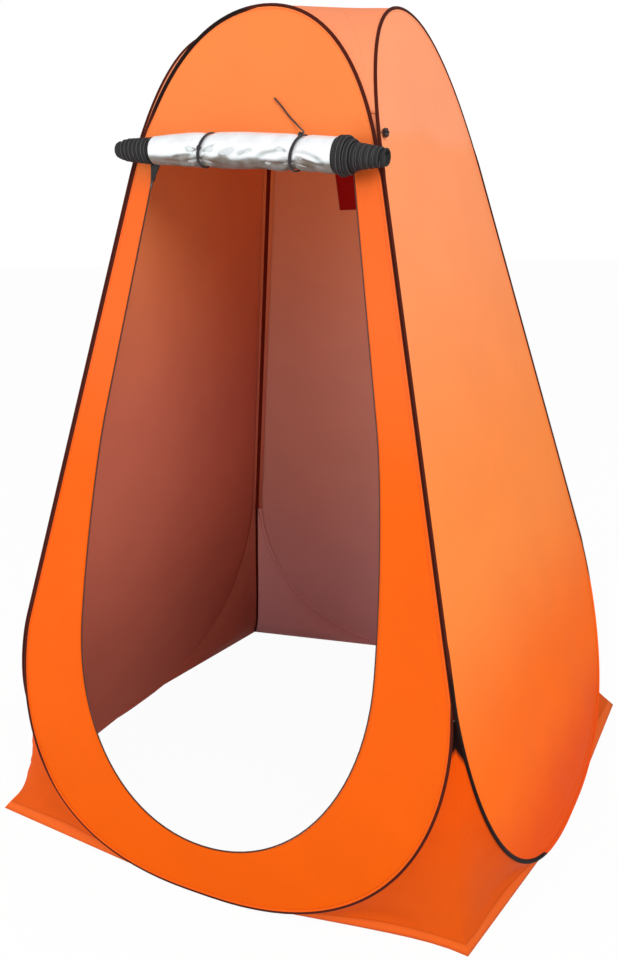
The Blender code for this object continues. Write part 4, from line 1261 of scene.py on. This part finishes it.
def roof_part(name, near, far, lapped):
    """An eighth of the roof: level lines of cloth from one hoop's arc halfway to the next one's,
    then the nearly level middle. A lapped one reaches a little past halfway, under its
    neighbour."""
    near_edge, far_edge = roof_edge(near), roof_edge(far)
    centre = Vector((0, MIDDLE_Y, near_edge[-1].z))
    first = -1 if lapped else 0
    rows = ROOF_CHORDS + ROOF_RINGS
    (share, reach), (height, pitch, fade) = ROOF_EDGE_DROP, ROOF_RIPPLE

    def place(s, t):
        column = first + round(s * (ROOF_COLUMNS - first))
        row = round(t * rows)
        index = min(row, ROOF_CHORDS)
        halfway = (near_edge[index] + far_edge[index]) / 2
        inner = max(0, row - ROOF_CHORDS) / ROOF_RINGS
        spot = halfway.lerp(near_edge[index], column / ROOF_COLUMNS).lerp(centre, inner)
        edge = (near_edge[index] - spot).length
        spot.z -= ROOF_CENTRE_DROP * ease(inner + share * ease(edge / reach))
        spot.z += height * wave(spot.x, spot.y, 40, pitch) * ease(edge / fade)
        if column < 0:
            spot.z -= ROOF_UNDERLAP
        return spot, (spot.x, spot.y), edge

    piece = grid_piece(name, ROOF_COLUMNS - first, rows, place)
    face_away(piece, Vector((0, 0, FAR_BELOW)))
    return piece


def roof_parts(panels, laps):
    """The eighths of the roof beside two panels: each one's own side of a corner, its neighbour's
    side, and whether it laps under the other half of the roof there."""
    parts = []
    for panel in panels:
        for sides in CORNERS.values():
            for near, far in (sides, sides[::-1]):
                if near[0] == panel:
                    parts.append((near, far, laps and far[0] not in panels))
    return parts


def make_roof(name, parts):
    """Half of the saddle-shaped roof, made of four eighths."""
    shape = bmesh.new()
    for number, sides in enumerate(parts):
        part = roof_part(f"{name}_{number}", *sides)
        data = part.data
        shape.from_mesh(data)
        bpy.data.objects.remove(part)
        bpy.data.meshes.remove(data)
    bmesh.ops.remove_doubles(shape, verts=shape.verts, dist=MERGE)
    return new_piece(name, shape)


def make_gusset(name, corner, halves=(0, 1)):
    """A triangle of cloth between two hoops' lower arcs, creased from the seam to its peg.
    halves are the shares of its width that the piece covers."""
    columns, rows = GUSSET_GRID
    near, far = CORNERS[corner]
    spots = arc_points(LOWER_ARC, *GUSSET_ARC, rows)
    near_edge, far_edge = (side_points(side, spots, BEHIND_TUBE) for side in (near, far))
    top = (near_edge[0] + far_edge[0]) / 2
    x, y, slack, flare, cut = PEGS[corner]
    (fan_height, folds), (ripple_height, ripple_pitch) = GUSSET_FAN, GUSSET_RIPPLE
    rumple_height, rumple_pitch, rumple_reach = GUSSET_RUMPLE
    tip = Vector((x, y + MIDDLE_Y, 0.001))
    out = Vector((x, y, 0)).normalized()
    inward = FRAMES[near[0]].to_3x3() @ Vector((0, 0, -1))
    inward.z = 0

    def place(s, t):
        s = halves[0] + (halves[1] - halves[0]) * s
        crease = top.lerp(tip, (1 - slack) * t + slack * t**flare)
        crease.z = top.z + (tip.z - top.z) * t
        a, b = near_edge[round(t * rows)], far_edge[round(t * rows)]
        side, share, way = (a, 2 * s, -1) if s <= 0.5 else (b, 2 - 2 * s, 1)
        end = near_edge[-1] if s <= 0.5 else far_edge[-1]
        spot = side.lerp(crease, share)
        width = (crease - side).length
        away = (1 - share) * width
        foot, drop = distance_to_line(spot, end, tip), (top - spot).length
        free = math.sin(math.pi * share) * ease(foot / 0.04)
        fan = fan_height * math.sin(folds * math.atan2(away, drop + 0.05) + 3 * way)
        creased = hump(1 - share, rumple_reach) * ease(foot / 0.05) * ease(drop / 0.1)
        ridge = (crease - (a + b) / 2).dot(out) / max(0.01, (a - b).length / 2)
        rounding = GUSSET_ROUNDING * ease(foot / 0.06) * ease(drop / 0.16)
        rounded = math.hypot(away, rounding) - away - math.hypot(width, rounding) + width
        spot = spot - out * ridge * rounded
        if way < 0:
            spot = spot + inward * cut * share * (1 - share**6) * t**10
        slackness = GUSSET_SLACK * width + ripple_height * wave(*spot, ripple_pitch) + fan
        spot = spot - out * slackness * free
        spot = spot + out * rumple_height * creased * wave(*spot, rumple_pitch)
        return spot, (way * away, drop), foot

    piece = grid_piece(name, columns, rows, place)
    face_away(piece, Vector((0, MIDDLE_Y, BESIDE_GUSSETS)))
    return piece


def make_pocket():
    """The pocket, a piece of cloth that sags open a little in its top's middle."""
    wide, tall = POCKET_SIZE
    height, pitch, fade = POCKET_RUMPLE

    def place(s, t):
        x, y = (s - 0.5) * wide, t * tall
        edge = min(s * wide, (1 - s) * wide, y, tall - y)
        sag = POCKET_SAG * ease(t) ** 2 * math.sin(math.pi * s) ** 2
        rumple = height * wave(x, y, 60, pitch) * ease(edge / fade)
        rise = y + POCKET_BOTTOM_RISE
        lift = -POCKET_STANDOFF + billow("back", x, rise, POCKET_FROM_EDGE) - sag - rumple
        return panel_point("back", x, rise, lift), (x, y), edge

    return grid_piece("pocket_cloth", 50, 36, place)


def seam_line(side, inset, lift):
    """Points along one side of a panel from its gusset to its roof, moved in by inset."""
    spots = arc_points(LOWER_ARC, GUSSET_ARC[0], 1, SEAM_STEPS, inset)
    foot, head = Vector(spots.pop()), Vector(arc_point(UPPER_ARC, 0, inset))
    spots += [foot.lerp(head, i / SEAM_STEPS) for i in range(SEAM_STEPS)]
    spots += arc_points(UPPER_ARC, 0, ROOF_ARC_START, SEAM_STEPS, inset)
    return side_points(side, spots, lift)


def make_seam_tape(name, corner, halves=(0, 1)):
    """The tape inside a seam, from one sleeve's flange to the next one's, with the lining beside
    it and the roof's cloth above it. halves are the shares of its width that the piece covers."""
    near, far = (
        [seam_line(side, inset, lift) for inset, lift in SEAM_TAPE_SECTION]
        for side in CORNERS[corner]
    )
    middle = [(a + b) / 2 for a, b in zip(near[-1], far[-1])]
    lines = near + [middle] + far[::-1]
    outermost = len(lines) - 1
    first, last = (round(share * outermost) for share in halves)
    lines = lines[first : last + 1]
    reach = reaches(lines[0])
    opens = SEAM_TAPE_OPENS if halves == (0, 1) else 1

    def place(s, t):
        column, row = round(s * (len(lines) - 1)), round(t * (len(reach) - 1))
        return lines[column][row], (reach[row], SEAM_TAPE_PITCH * (column + first)), 0.0

    def wears(s, t):
        column = first + int(s * (len(lines) - 1))
        if min(column, outermost - 1 - column) < SEAM_TAPE_DARK:
            return 1
        return 2 if t > opens else 0

    piece = grid_piece(name, len(lines) - 1, len(reach) - 1, place, second=wears)
    face_away(piece, Vector((0, MIDDLE_Y, BESIDE_SEAMS)))
    return piece


# ---------------------------------------------------------------- the rolled door


def turn_length(angle):
    """How far a turn about the roll's axis goes on its surface."""
    return angle * ROLL_PROFILE[1][1]


CREASE_LINES = [
    ([Vector((x, turn_length(math.radians(turn)), 0)) for x, turn in route], cut, half_width)
    for route, cut, half_width in ROLL_CREASES
]


def roll_radius(x):
    depth, reach = TIE_PINCH
    radius = profile_value(ROLL_PROFILE, (x + ROLL_END) / (2 * ROLL_END))
    for tie in TIES.values():
        radius -= depth * hump(x - tie, reach)
    return radius


def crease_cut(x, angle):
    """How deep the rolled cloth's creases cut at a point, and how much painted shade they put
    there.
    """
    spot = Vector((x, turn_length(angle), 0))
    jitter, pitch = CREASE_JITTER
    spot += Vector((wave(*spot.xy, 21, pitch), wave(*spot.xy, 22, pitch), 0)) * jitter
    depth = painted_shade = 0.0
    for points, cut, half_width in CREASE_LINES:
        away = min(distance_to_line(spot, a, b) for a, b in zip(points, points[1:]))
        middle, reach = (points[0] + points[-1]) / 2, (points[0] - points[-1]).length / 2
        taper = below((spot - middle).length / reach, *CREASE_TAPER)
        width = half_width * (CREASE_WIDTHS[0] + CREASE_WIDTHS[1] * taper)
        depth += cut * hump(away, width) * taper
        shade_weight = CREASE_SHADE if cut > 0 else BULGE_SHADE
        painted_shade += shade_weight * hump(away, SHADE_REACH * half_width) * taper
    return depth, painted_shade


def roll_painted_shade(x, angle):
    """The painted shade on the coat: none on top, dark in the creases and underneath, where shade
    falls, and less on the bulges.
    """
    (start, fade), (wander, pitch) = SHADED_UNDERSIDE, SHADE_WANDER
    under = ease((-math.degrees(angle) - start + wander * wave(x, 1, 4, pitch)) / fade)
    return max(0.0, min(1.0, under + crease_cut(x, angle)[1]))


def roll_fold(x, angle):
    """Folds in the rolled cloth: they fan out from the ties and deepen on the underside."""
    under = ease((-math.sin(angle) + 0.55) / 1.2)
    lift = FOLD_SWELL[0] * wave(x, angle * 0.03, 2, FOLD_SWELL[1])
    height, folds, turn, length, start = FOLD_FAN
    for tie in TIES.values():
        dx, dy = x - tie, (angle + 0.9) * FOLD_ARM
        fan = math.sin(folds * math.atan2(dy, abs(dx)) + turn * dx)
        lift += height * fan * math.exp(-math.hypot(dx, dy) / length) * ease(abs(dx) / start)
    rumple = abs(wave(x, angle * FOLD_ARM, 11, FOLD_UNDER[1])) * 2 - 0.5
    lift += FOLD_UNDER[0] * under * rumple
    return sizes().crease * lift * (0.35 + 0.65 * under) - crease_cut(x, angle)[0]


def roll_point(x, angle, radius):
    """A point of the roll, which bows down to its ends and slants where the ties cross it."""
    slant = TIE_SLANT * sum(hump(x - tie, TIE_SLANT_REACH) for tie in TIES.values())
    rise = radius * math.sin(angle)
    outward = max(radius * math.cos(angle), ROLL_CLEARANCE - ROLL_STANDOFF)
    return Vector((x + slant * rise, rise - ROLL_BOW * min(1.0, (x / ROLL_END) ** 2), outward))


def make_roll_cloth():
    """The door's cloth, wound from the panel above the opening into a roll of many turns. Half of
    its rows lie in the outer turns, which show."""
    inner_turns = ROLL_TURNS - ROLL_OUTER_TURNS

    def place(s, t):
        x = ROLL_END - 2 * ROLL_END * s
        turn = ROLL_OUTER_TURNS * min(1, 2 * t) + inner_turns * max(0, 2 * t - 1)
        angle = ROLL_START - 2 * math.pi * turn
        facing = math.remainder(angle, 2 * math.pi)
        outer = roll_radius(x)
        if turn < ROLL_FOLDED_TURNS:
            outer += roll_fold(x, facing) * ease(turn * ROLL_FOLDS_START)
        spot = roll_point(x, angle, outer - ROLL_LAYER * turn)
        if turn < ROLL_HEAD_TURN:
            rise = OPENING_HEAD + ROLL_SEAM[0] - ROLL_CENTRE[1] - x * math.sin(ROLL_TILT)
            sewn = Vector((x, rise, ROLL_SEAM[1] - ROLL_STANDOFF))
            spot = sewn.lerp(spot, ease(turn / ROLL_HEAD_TURN))
        # Painted shade: from the creases and the underside on the turns that show, and a flat shade
        # on the hidden turns.
        painted_shade = roll_painted_shade(x, facing) if turn < ROLL_SHOWN_TURNS else ROLL_INNER_SHADE
        return ROLL_PLACE @ spot, (x, turn * ROLL_TURN_LENGTH), painted_shade

    return grid_piece("door_roll_cloth", 190, 230, place)


def ribbed_section(count=24):
    """Section of the wound tape: as wide as its pitch, with two ribs on its outer face."""
    outline = []
    for turn in (2 * math.pi * k / count for k in range(count)):
        x = RIB_HALF_WIDTH * math.cos(turn)
        y = math.copysign(abs(math.sin(turn)) ** 0.6 * COIL_TUBE_RADIUS, math.sin(turn))
        if COIL_TUBE_RADIUS * math.sin(turn) > 0:
            y -= RIB_GROOVE[0] * hump(x, RIB_GROOVE[1])
        outline.append((x, y))
    return outline


def make_coil_core(side):
    """The layers of tape inside the wound ribs: domed at the left tip, hollow at the right."""
    direction, turns, wound = COILS[side]
    span = (turns + 1) * COIL_PITCH
    starts = (CORE_START, 0.0, *(share * span for share in CORE_SHARES))
    inner = [(x, profile_value(wound, max(0.0, x / span)) - CORE_DEPTH) for x in starts]
    radius = inner[-1][1]
    if side == "left":
        step, reach, bulge = CORE_DOME_STEPS
        tip = [
            (span + step + reach * math.sin(turn), (radius + bulge) * math.cos(turn))
            for turn in CORE_DOME
        ]
    else:
        rim = radius + CORE_RIM
        tip = [(span + x, rim - depth) for x, depth in CORE_HOLLOW]
        tip.append((span + CORE_FLOOR[0], CORE_FLOOR[1]))
    profile = inner + tip
    across, up = ROLL_TURN @ Vector((0, 1, 0)), ROLL_TURN @ Vector((0, 0, 1))
    axis = [Vector((direction * (ROLL_END + x), -ROLL_BOW, 0)) for x, _ in profile]
    stations = [(ROLL_PLACE @ point, across, up) for point in axis]

    def section(index):
        return [(x * profile[index][1], y * profile[index][1]) for x, y in circle(1, 32)]

    return sweep(f"wound_zip_core_{side}", stations, section)


def make_wound_zip(side):
    """The zip's tape wound on one end of the roll: one helix of ribbed tape down to the tip."""
    direction, turns, profile = COILS[side]
    span = (turns + 1) * COIL_PITCH
    stations, last = [], turns * COIL_STEPS
    for i in range(last + 1):
        along = COIL_TUBE_RADIUS + COIL_START_GAP + COIL_PITCH * i / COIL_STEPS
        tucked = COIL_TUCK * (1 - ease(min(i, last - i) / 10))
        radius = profile_value(profile, along / span) - COIL_TUBE_RADIUS - tucked
        turn = 2 * math.pi * i / COIL_STEPS
        outward = Vector((0, math.sin(turn), math.cos(turn)))
        spot = Vector((direction * (ROLL_END + along), -ROLL_BOW, 0)) + outward * radius
        stations.append((ROLL_PLACE @ spot, ROLL_TURN @ Vector((1, 0, 0)), ROLL_TURN @ outward))
    section = ribbed_section()

    def tapered(index):
        size = 0.3 + 0.7 * ease(min(index, last - index) / 8)
        return [(x * size, y * size) for x, y in section]

    return sweep(f"wound_zip_{side}", stations, tapered)


def make_tie(side):
    """One tie: sewn to the panel behind the roll, over it, round its front and under it."""
    x = TIES[side]
    face = TIE_SEWN_LIFT[0] + TIE_RADIUS - ROLL_STANDOFF
    sewn_x = x + TIE_SLANT * TIE_SEWN_RISE
    route = [
        (sewn_x, TIE_SEWN_RISE - TIE_SEWN_LENGTH, face),
        (sewn_x, TIE_SEWN_RISE, face + TIE_SEWN_LIFT[1]),
    ]
    for k in range(TIE_STEPS + 1):
        angle = TIE_END - 2 * TIE_END * k / TIE_STEPS
        route.append(roll_point(x, angle, roll_radius(x) + TIE_RADIUS + TIE_CLEARANCE))
    points = [ROLL_PLACE @ p for p in smooth_line(route, 4)]
    section = [(a * TIE_HALF_WIDTH / TIE_RADIUS, 0.8 * b) for a, b in circle(TIE_RADIUS, 12)]
    return sweep(f"tie_{side}", cord_stations(points, ROLL_TURN @ Vector((1, 0, 0))), section)


def make_knot(side):
    """The knot of a tie: at the front of the left one, where the tail starts on the right one."""
    x, (turn, lift) = TIES[side], KNOTS[side]
    centre = ROLL_PLACE @ roll_point(x, turn, roll_radius(x) + lift * TIE_RADIUS)
    if side == "right":
        centre = (centre + panel_point("front", *TAIL_ROUTE[0])) / 2
    points = []
    for turn in (4 * math.pi * k / KNOT_STEPS for k in range(KNOT_STEPS + 1)):
        reach = KNOT_RADIUS * (1 + KNOT_SWING * math.cos(1.5 * turn))
        depth = KNOT_SWING * KNOT_RADIUS * math.sin(1.5 * turn)
        points.append(centre + Vector((reach * math.cos(turn), depth, reach * math.sin(turn))))
    return sweep(f"tie_knot_{side}", cord_stations(points), circle(0.8 * TIE_RADIUS, 8))


def make_tail():
    """The loose tail of the right tie, over the roll and up the panel."""
    points = [FRAMES["front"] @ p for p in smooth_line(TAIL_ROUTE, 8)]
    return sweep("tie_tail", cord_stations(points), circle(TAIL_RADIUS, 10)), points


def make_toggle_loop():
    """The loop of cord over the toggle's waist, sewn to the right panel at both ends."""
    low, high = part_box("side_toggle")
    middle = FRAMES["right"].inverted() @ ((low + high) / 2)
    tilt = math.atan2(*bezier_slope(UPPER_ARC, TOGGLE_ALONG_ARC))
    place = FRAMES["right"] @ Matrix.Translation(middle) @ Matrix.Rotation(tilt, 4, "Z")
    reach = TOGGLE_WAIST + TOGGLE_CLEARANCE + TOGGLE_LOOP_RADIUS
    turns = [math.pi * i / 24 for i in range(25)]
    arc = [(-reach * math.cos(turn), 0, reach * math.sin(turn)) for turn in turns]
    route = [(-reach, 0, -TOGGLE_RADIUS)] + arc + [(reach, 0, -TOGGLE_RADIUS)]
    points = [place @ Vector(p) for p in route]
    return sweep("toggle_loop", cord_stations(points), circle(1.15 * TOGGLE_LOOP_RADIUS, 10))


# ---------------------------------------------------------------- the opening's zip


def make_zip_tape():
    """The zip's tape along the opening, which has the cloth in front of it."""
    line = even(whole(half_opening()), sizes().steps)[:-1]
    stations = loop_stations("front", line)
    return sweep("opening_zip_tape", stations, list(ZIP_TAPE_SECTION), ring=True)


def make_zip_teeth():
    """The coil along the tape's edge, as a bead with a rib for each turn of the coil."""
    outline = whole(half_opening())
    line = even(outline, 2 * int(line_length(outline) / sizes().tooth))[:-1]
    along, lift = ZIP_TEETH_PLACE
    wide, narrow = (
        [(along + a * x, lift + b * y) for x, y in circle(1, 8)] for a, b in ZIP_TEETH_RADII
    )

    def section(index):
        return narrow if index % 2 else wide

    return sweep("opening_zip_teeth", loop_stations("front", line), section, ring=True)


def make_zip_lead():
    """The end of the zip's tape, from under the roll's left end to the opening's corner."""
    upper, lower = ([Vector(p) for p in ends] for ends in ZIP_LEAD)

    def place(s, t):
        spot = upper[0].lerp(upper[1], s).lerp(lower[0].lerp(lower[1], s), t)
        spot.z += 0.002 * math.sin(3 * math.pi * s) * t
        return FRAMES["front"] @ spot, (0.04 * t, 0.03 * s), 0.0

    return grid_piece("zip_lead", 12, 12, place)


# ---------------------------------------------------------------- operators


def stand_for(piece, node, body=None):
    """Shows a piece in place of a CAD node, and on body if it rides."""
    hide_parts(node)
    if body:
        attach(piece, body)


def surface(piece):
    return sum(face.area for face in piece.data.polygons)


def declare_cloth(piece, points):
    """Works out a sheet's own area and the box of its flat outline. An outline that fills less of
    its box than a declared sheet may is given a smaller box of the same shape. Neither is kept."""
    wide, tall = (max(p[i] for p in points) - min(p[i] for p in points) for i in (0, 1))
    area = surface(piece)
    scale = min(1.0, math.sqrt(area / (wide * tall) / LEAST_FILLED))
    flat = (wide * scale, tall * scale)
    min(area, flat[0] * flat[1])


class TentOperator:
    """What the operators share."""

    bl_options = {"REGISTER", "UNDO"}


class TENT_OT_stage(TentOperator, bpy.types.Operator):
    """Sets the camera, the floor and backdrop, and the soft studio light"""

    bl_idname = "tent.stage"
    bl_label = "Stage"

    def execute(self, context):
        scene = context.scene
        self.add_camera(scene)
        self.add_floor()
        self.add_light(scene)
        scene.view_settings.view_transform = "Standard"
        return {"FINISHED"}

    def add_camera(self, scene):
        data = bpy.data.cameras.new("camera")
        data.sensor_width = SENSOR
        data.lens = FOCAL_PIXELS * SENSOR / PHOTO_HEIGHT
        camera = bpy.data.objects.new("camera", data)
        scene.collection.objects.link(camera)
        turn = Matrix.Rotation(CAMERA_YAW, 4, "Z")
        turn = turn @ Matrix.Rotation(math.pi / 2 - CAMERA_PITCH, 4, "X")
        turn = turn @ Matrix.Rotation(CAMERA_ROLL, 4, "Z")
        camera.matrix_world = Matrix.Translation(CAMERA_PLACE) @ turn
        scene.camera = camera

    def add_floor(self):
        shape = bmesh.new()
        bmesh.ops.create_grid(shape, x_segments=1, y_segments=1, size=FLOOR_SIZE)
        floor = new_piece("floor", shape)
        finish = Finish("floor", 0.9, Base_Color=(*colours().floor, 1))
        rays = finish.node("ShaderNodeLightPath", {}, {})
        glow = finish.node("ShaderNodeEmission", {}, {"Color": WHITE, "Strength": 1.0})
        camera, glossy, through = (
            Value(finish, rays.outputs[f"Is {kind} Ray"])
            for kind in ("Camera", "Glossy", "Transmission")
        )
        share = finish.clamped(camera + glossy + through) * FLOOR_GLOW
        sockets = {0: share, 1: finish.shader.outputs[0], 2: glow.outputs[0]}
        mix = finish.node("ShaderNodeMixShader", {}, sockets)
        surface_socket = finish.tree.nodes["Material Output"].inputs["Surface"]
        finish.tree.links.new(mix.outputs[0], surface_socket)
        wear(floor, finish.material)

    def add_light(self, scene):
        world = bpy.data.worlds.new("studio")
        world.use_nodes = True
        tree = world.node_tree
        sky, white = tree.nodes["Background"], tree.nodes.new("ShaderNodeBackground")
        for background, strength in ((sky, WORLD_LIGHT), (white, 1.0)):
            background.inputs["Color"].default_value = WHITE
            background.inputs["Strength"].default_value = strength
        rays = tree.nodes.new("ShaderNodeLightPath")
        mix = tree.nodes.new("ShaderNodeMixShader")
        ends = (rays.outputs["Is Camera Ray"], sky.outputs[0], white.outputs[0])
        for number, socket in enumerate(ends):
            tree.links.new(socket, mix.inputs[number])
        tree.links.new(mix.outputs[0], tree.nodes["World Output"].inputs["Surface"])
        scene.world = world
        for name, (place, size, power) in LAMPS.items():
            self.add_lamp(name, place, size, power)

    def add_lamp(self, name, place, size, power):
        data = bpy.data.lights.new(name, "AREA")
        data.shape = "DISK"
        data.size = size
        data.energy = power
        lamp = bpy.data.objects.new(name, data)
        bpy.context.scene.collection.objects.link(lamp)
        aim = Vector(LAMP_AIM) - Vector(place)
        turn = aim.to_track_quat("-Z", "Y").to_matrix().to_4x4()
        lamp.matrix_world = Matrix.Translation(place) @ turn


class TENT_OT_tie_tail(TentOperator, bpy.types.Operator):
    """Makes the loose tail of the right tie"""

    bl_idname = "tent.tie_tail"
    bl_label = "Tie tail"

    def execute(self, context):
        piece, points = make_tail()
        wear(piece, cord_braid())
        stand_for(piece, "right_tie_tail", "front")
        tuple(points[0])
        round(line_length(points), 3)
        [tuple(p) for p in points]
        return {"FINISHED"}


class TENT_OT_panels(TentOperator, bpy.types.Operator):
    """Makes the four panels of coated cloth"""

    bl_idname = "tent.panels"
    bl_label = "Panels"

    def execute(self, context):
        front = cloth_finish("front_cloth", front_stops())
        side = cloth_finish("side_cloth", side_stops())
        for panel in TURNS:
            piece = make_front_panel() if panel == "front" else make_side_panel(panel)
            wear(piece, front if panel == "front" else side, lining(panel))
            add_wall(piece, sizes().cloth)
            stand_for(piece, f"{panel}_panel", panel)
            declare_cloth(piece, whole(half_hoop(PANEL_INSET)))
        return {"FINISHED"}


class TENT_OT_bindings(TentOperator, bpy.types.Operator):
    """Makes the bound sleeves round the hoops, and the wire in them"""

    bl_idname = "tent.bindings"
    bl_label = "Bindings and wires"

    def execute(self, context):
        steel = metal_finish("spring_wire", colours().steel, 0.35, 1.0)
        brass = metal_finish("crimp_brass", colours().brass, 0.4, 1.0)
        for panel in TURNS:
            binding, wire = make_binding(panel), make_wire(panel)
            stops = front_stops() if panel == "front" else side_stops()
            wear(binding, binding_finish(f"binding_{panel}", stops, lining_stops(panel)))
            wear(wire, steel)
            stand_for(binding, f"{panel}_sleeve", panel)
            stand_for(wire, f"{panel}_hoop", panel)
            refinish(f"{panel}_ferrule", brass)
        return {"FINISHED"}


class TENT_OT_roof(TentOperator, bpy.types.Operator):
    """Makes the two halves of the roof"""

    bl_idname = "tent.roof"
    bl_label = "Roof"

    def execute(self, context):
        for half, panels in (("front_left", ("front", "left")), ("back_right", ("right", "back"))):
            parts = roof_parts(panels, laps=half == "front_left")
            piece = make_roof(f"roof_cloth_{half}", parts)
            wear(piece, roof_cloth(), lining())
            add_wall(piece, sizes().cloth)
            stand_for(piece, f"roof_{half}")
            rim = [(p.x, p.y) for near, _, _ in parts for p in roof_edge(near)]
            declare_cloth(piece, rim)
            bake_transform(piece)
        return {"FINISHED"}


class TENT_OT_gussets(TentOperator, bpy.types.Operator):
    """Makes the four corner gussets"""

    bl_idname = "tent.gussets"
    bl_label = "Gussets"

    def execute(self, context):
        finish = hemmed_finish("gusset_cloth", stops_of((0.0, "gusset"), (0.25, "side_low")))
        for corner in SEWN_CORNERS:
            piece = make_gusset(f"gusset_cloth_{corner}", corner)
            self.dress(piece, corner, finish, lining())
            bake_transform(piece)
        for panel, halves in OPEN_HALVES:
            piece = make_gusset(f"gusset_cloth_{OPEN_CORNER}_{panel}", OPEN_CORNER, halves)
            inside = seam_lining_finish(f"seam_lining_{panel}", lining_stops(panel))
            self.dress(piece, OPEN_CORNER, finish, inside)
            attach(piece, panel)
            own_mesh(piece)
        return {"FINISHED"}

    def dress(self, piece, corner, finish, inside):
        wear(piece, finish, inside)
        add_wall(piece, sizes().cloth)
        stand_for(piece, f"gusset_{corner}")
        flat = [tuple(loop.uv) for loop in piece.data.uv_layers["cloth"].data]
        declare_cloth(piece, flat)


class TENT_OT_opening_zip(TentOperator, bpy.types.Operator):
    """Makes the zip along the door opening and finishes its slider and pull"""

    bl_idname = "tent.opening_zip"
    bl_label = "Opening zip"

    def execute(self, context):
        tape, teeth, lead = make_zip_tape(), make_zip_teeth(), make_zip_lead()
        add_wall(lead, LEAD_WALL, lining=False)
        wear(tape, opening_tape_finish("opening_tape"))
        wear(teeth, moulded_finish("zip_coil", colours().opening_tape))
        wear(lead, zip_weave())
        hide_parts("opening_zip")
        for piece in (tape, teeth, lead):
            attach(piece, "front")
        enamel = metal_finish("slider_enamel", colours().enamel, 0.4, 0.8)
        for node in ("zip_slider", "zip_pull"):
            refinish(node, enamel)
        return {"FINISHED"}


class TENT_OT_door_roll(TentOperator, bpy.types.Operator):
    """Makes the rolled door with its wound zip ends"""

    bl_idname = "tent.door_roll"
    bl_label = "Rolled door"

    def execute(self, context):
        cloth = make_roll_cloth()
        wear(cloth, silver_finish("silver_coat"), lining())
        add_wall(cloth, ROLL_WALL)
        stand_for(cloth, "door_roll", "front")
        for side in COILS:
            for piece in (make_wound_zip(side), make_coil_core(side)):
                wear(piece, zip_weave())
                stand_for(piece, f"roll_zip_{side}", "front")
        return {"FINISHED"}


class TENT_OT_roll_ties(TentOperator, bpy.types.Operator):
    """Makes the two ties round the roll"""

    bl_idname = "tent.roll_ties"
    bl_label = "Roll ties"

    def execute(self, context):
        for side in TIES:
            for piece in (make_tie(side), make_knot(side)):
                wear(piece, cord_braid())
                stand_for(piece, f"roll_tie_{side}", "front")
        return {"FINISHED"}


class TENT_OT_pocket(TentOperator, bpy.types.Operator):
    """Makes the pocket on the back panel's inner face"""

    bl_idname = "tent.pocket"
    bl_label = "Pocket"

    def execute(self, context):
        piece = make_pocket()
        stops = stops_of((0.0, "pocket"), (1.0, "pocket"))
        wear(piece, cloth_finish("pocket_cloth", stops, sheen=0.3))
        add_wall(piece, POCKET_WALL, lining=False)
        stand_for(piece, "inner_pocket", "back")
        return {"FINISHED"}


class TENT_OT_seam_tapes(TentOperator, bpy.types.Operator):
    """Makes the tapes inside the four corner seams"""

    bl_idname = "tent.seam_tapes"
    bl_label = "Seam tapes"

    def execute(self, context):
        finish = seam_tape_finish("seam_tape")
        for corner in SEWN_CORNERS:
            sides = CORNERS[corner]
            near, far = (panel for panel, _ in sides)
            piece = make_seam_tape(f"seam_tape_{near}_{far}", corner)
            self.dress(piece, finish)
            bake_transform(piece)
        for panel, halves in OPEN_HALVES:
            piece = make_seam_tape(f"seam_tape_open_{panel}", OPEN_CORNER, halves)
            self.dress(piece, finish)
            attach(piece, panel)
            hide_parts("back_left_seam_tape")
        return {"FINISHED"}

    def dress(self, piece, finish):
        wear(piece, finish, lining(), roof_cloth())
        add_wall(piece, SEAM_TAPE_WALL, lining=False)


class TENT_OT_toggle(TentOperator, bpy.types.Operator):
    """Finishes the barrel toggle and its loop"""

    bl_idname = "tent.toggle"
    bl_label = "Toggle"

    def execute(self, context):
        refinish("side_toggle", moulded_finish("toggle_plastic", colours().toggle))
        piece = make_toggle_loop()
        wear(piece, cord_braid())
        stand_for(piece, "side_toggle_loop", "right")
        return {"FINISHED"}


OPERATORS = (
    TENT_OT_stage,
    TENT_OT_tie_tail,
    TENT_OT_panels,
    TENT_OT_bindings,
    TENT_OT_roof,
    TENT_OT_gussets,
    TENT_OT_opening_zip,
    TENT_OT_door_roll,
    TENT_OT_roll_ties,
    TENT_OT_pocket,
    TENT_OT_seam_tapes,
    TENT_OT_toggle,
)


class TENT_PT_tent(bpy.types.Panel):
    """Lists the tent's pieces, sizes and colours"""

    bl_idname = "TENT_PT_tent"
    bl_label = "Privacy tent"
    bl_space_type = "VIEW_3D"
    bl_region_type = "UI"
    bl_category = "Tent"

    def draw(self, context):
        for group in (context.scene.tent_sizes, context.scene.tent_colours):
            box = self.layout.box()
            for name in group.__annotations__:
                box.prop(group, name)
        for operator in OPERATORS:
            self.layout.operator(operator.bl_idname)


CLASSES = (TentSizes, TentColours, *OPERATORS, TENT_PT_tent)


def register():
    for cls in CLASSES:
        bpy.utils.register_class(cls)
    bpy.types.Scene.tent_sizes = PointerProperty(type=TentSizes)
    bpy.types.Scene.tent_colours = PointerProperty(type=TentColours)


def unregister():
    del bpy.types.Scene.tent_colours
    del bpy.types.Scene.tent_sizes
    for cls in reversed(CLASSES):
        bpy.utils.unregister_class(cls)


def main():
    register()
    for startup in ("Cube", "Light", "Camera"):
        if startup in bpy.data.objects:
            bpy.data.objects.remove(bpy.data.objects[startup])
    for operator in OPERATORS:
        group, name = operator.bl_idname.split(".")
        getattr(getattr(bpy.ops, group), name)()


if __name__ == "__main__":
    main()
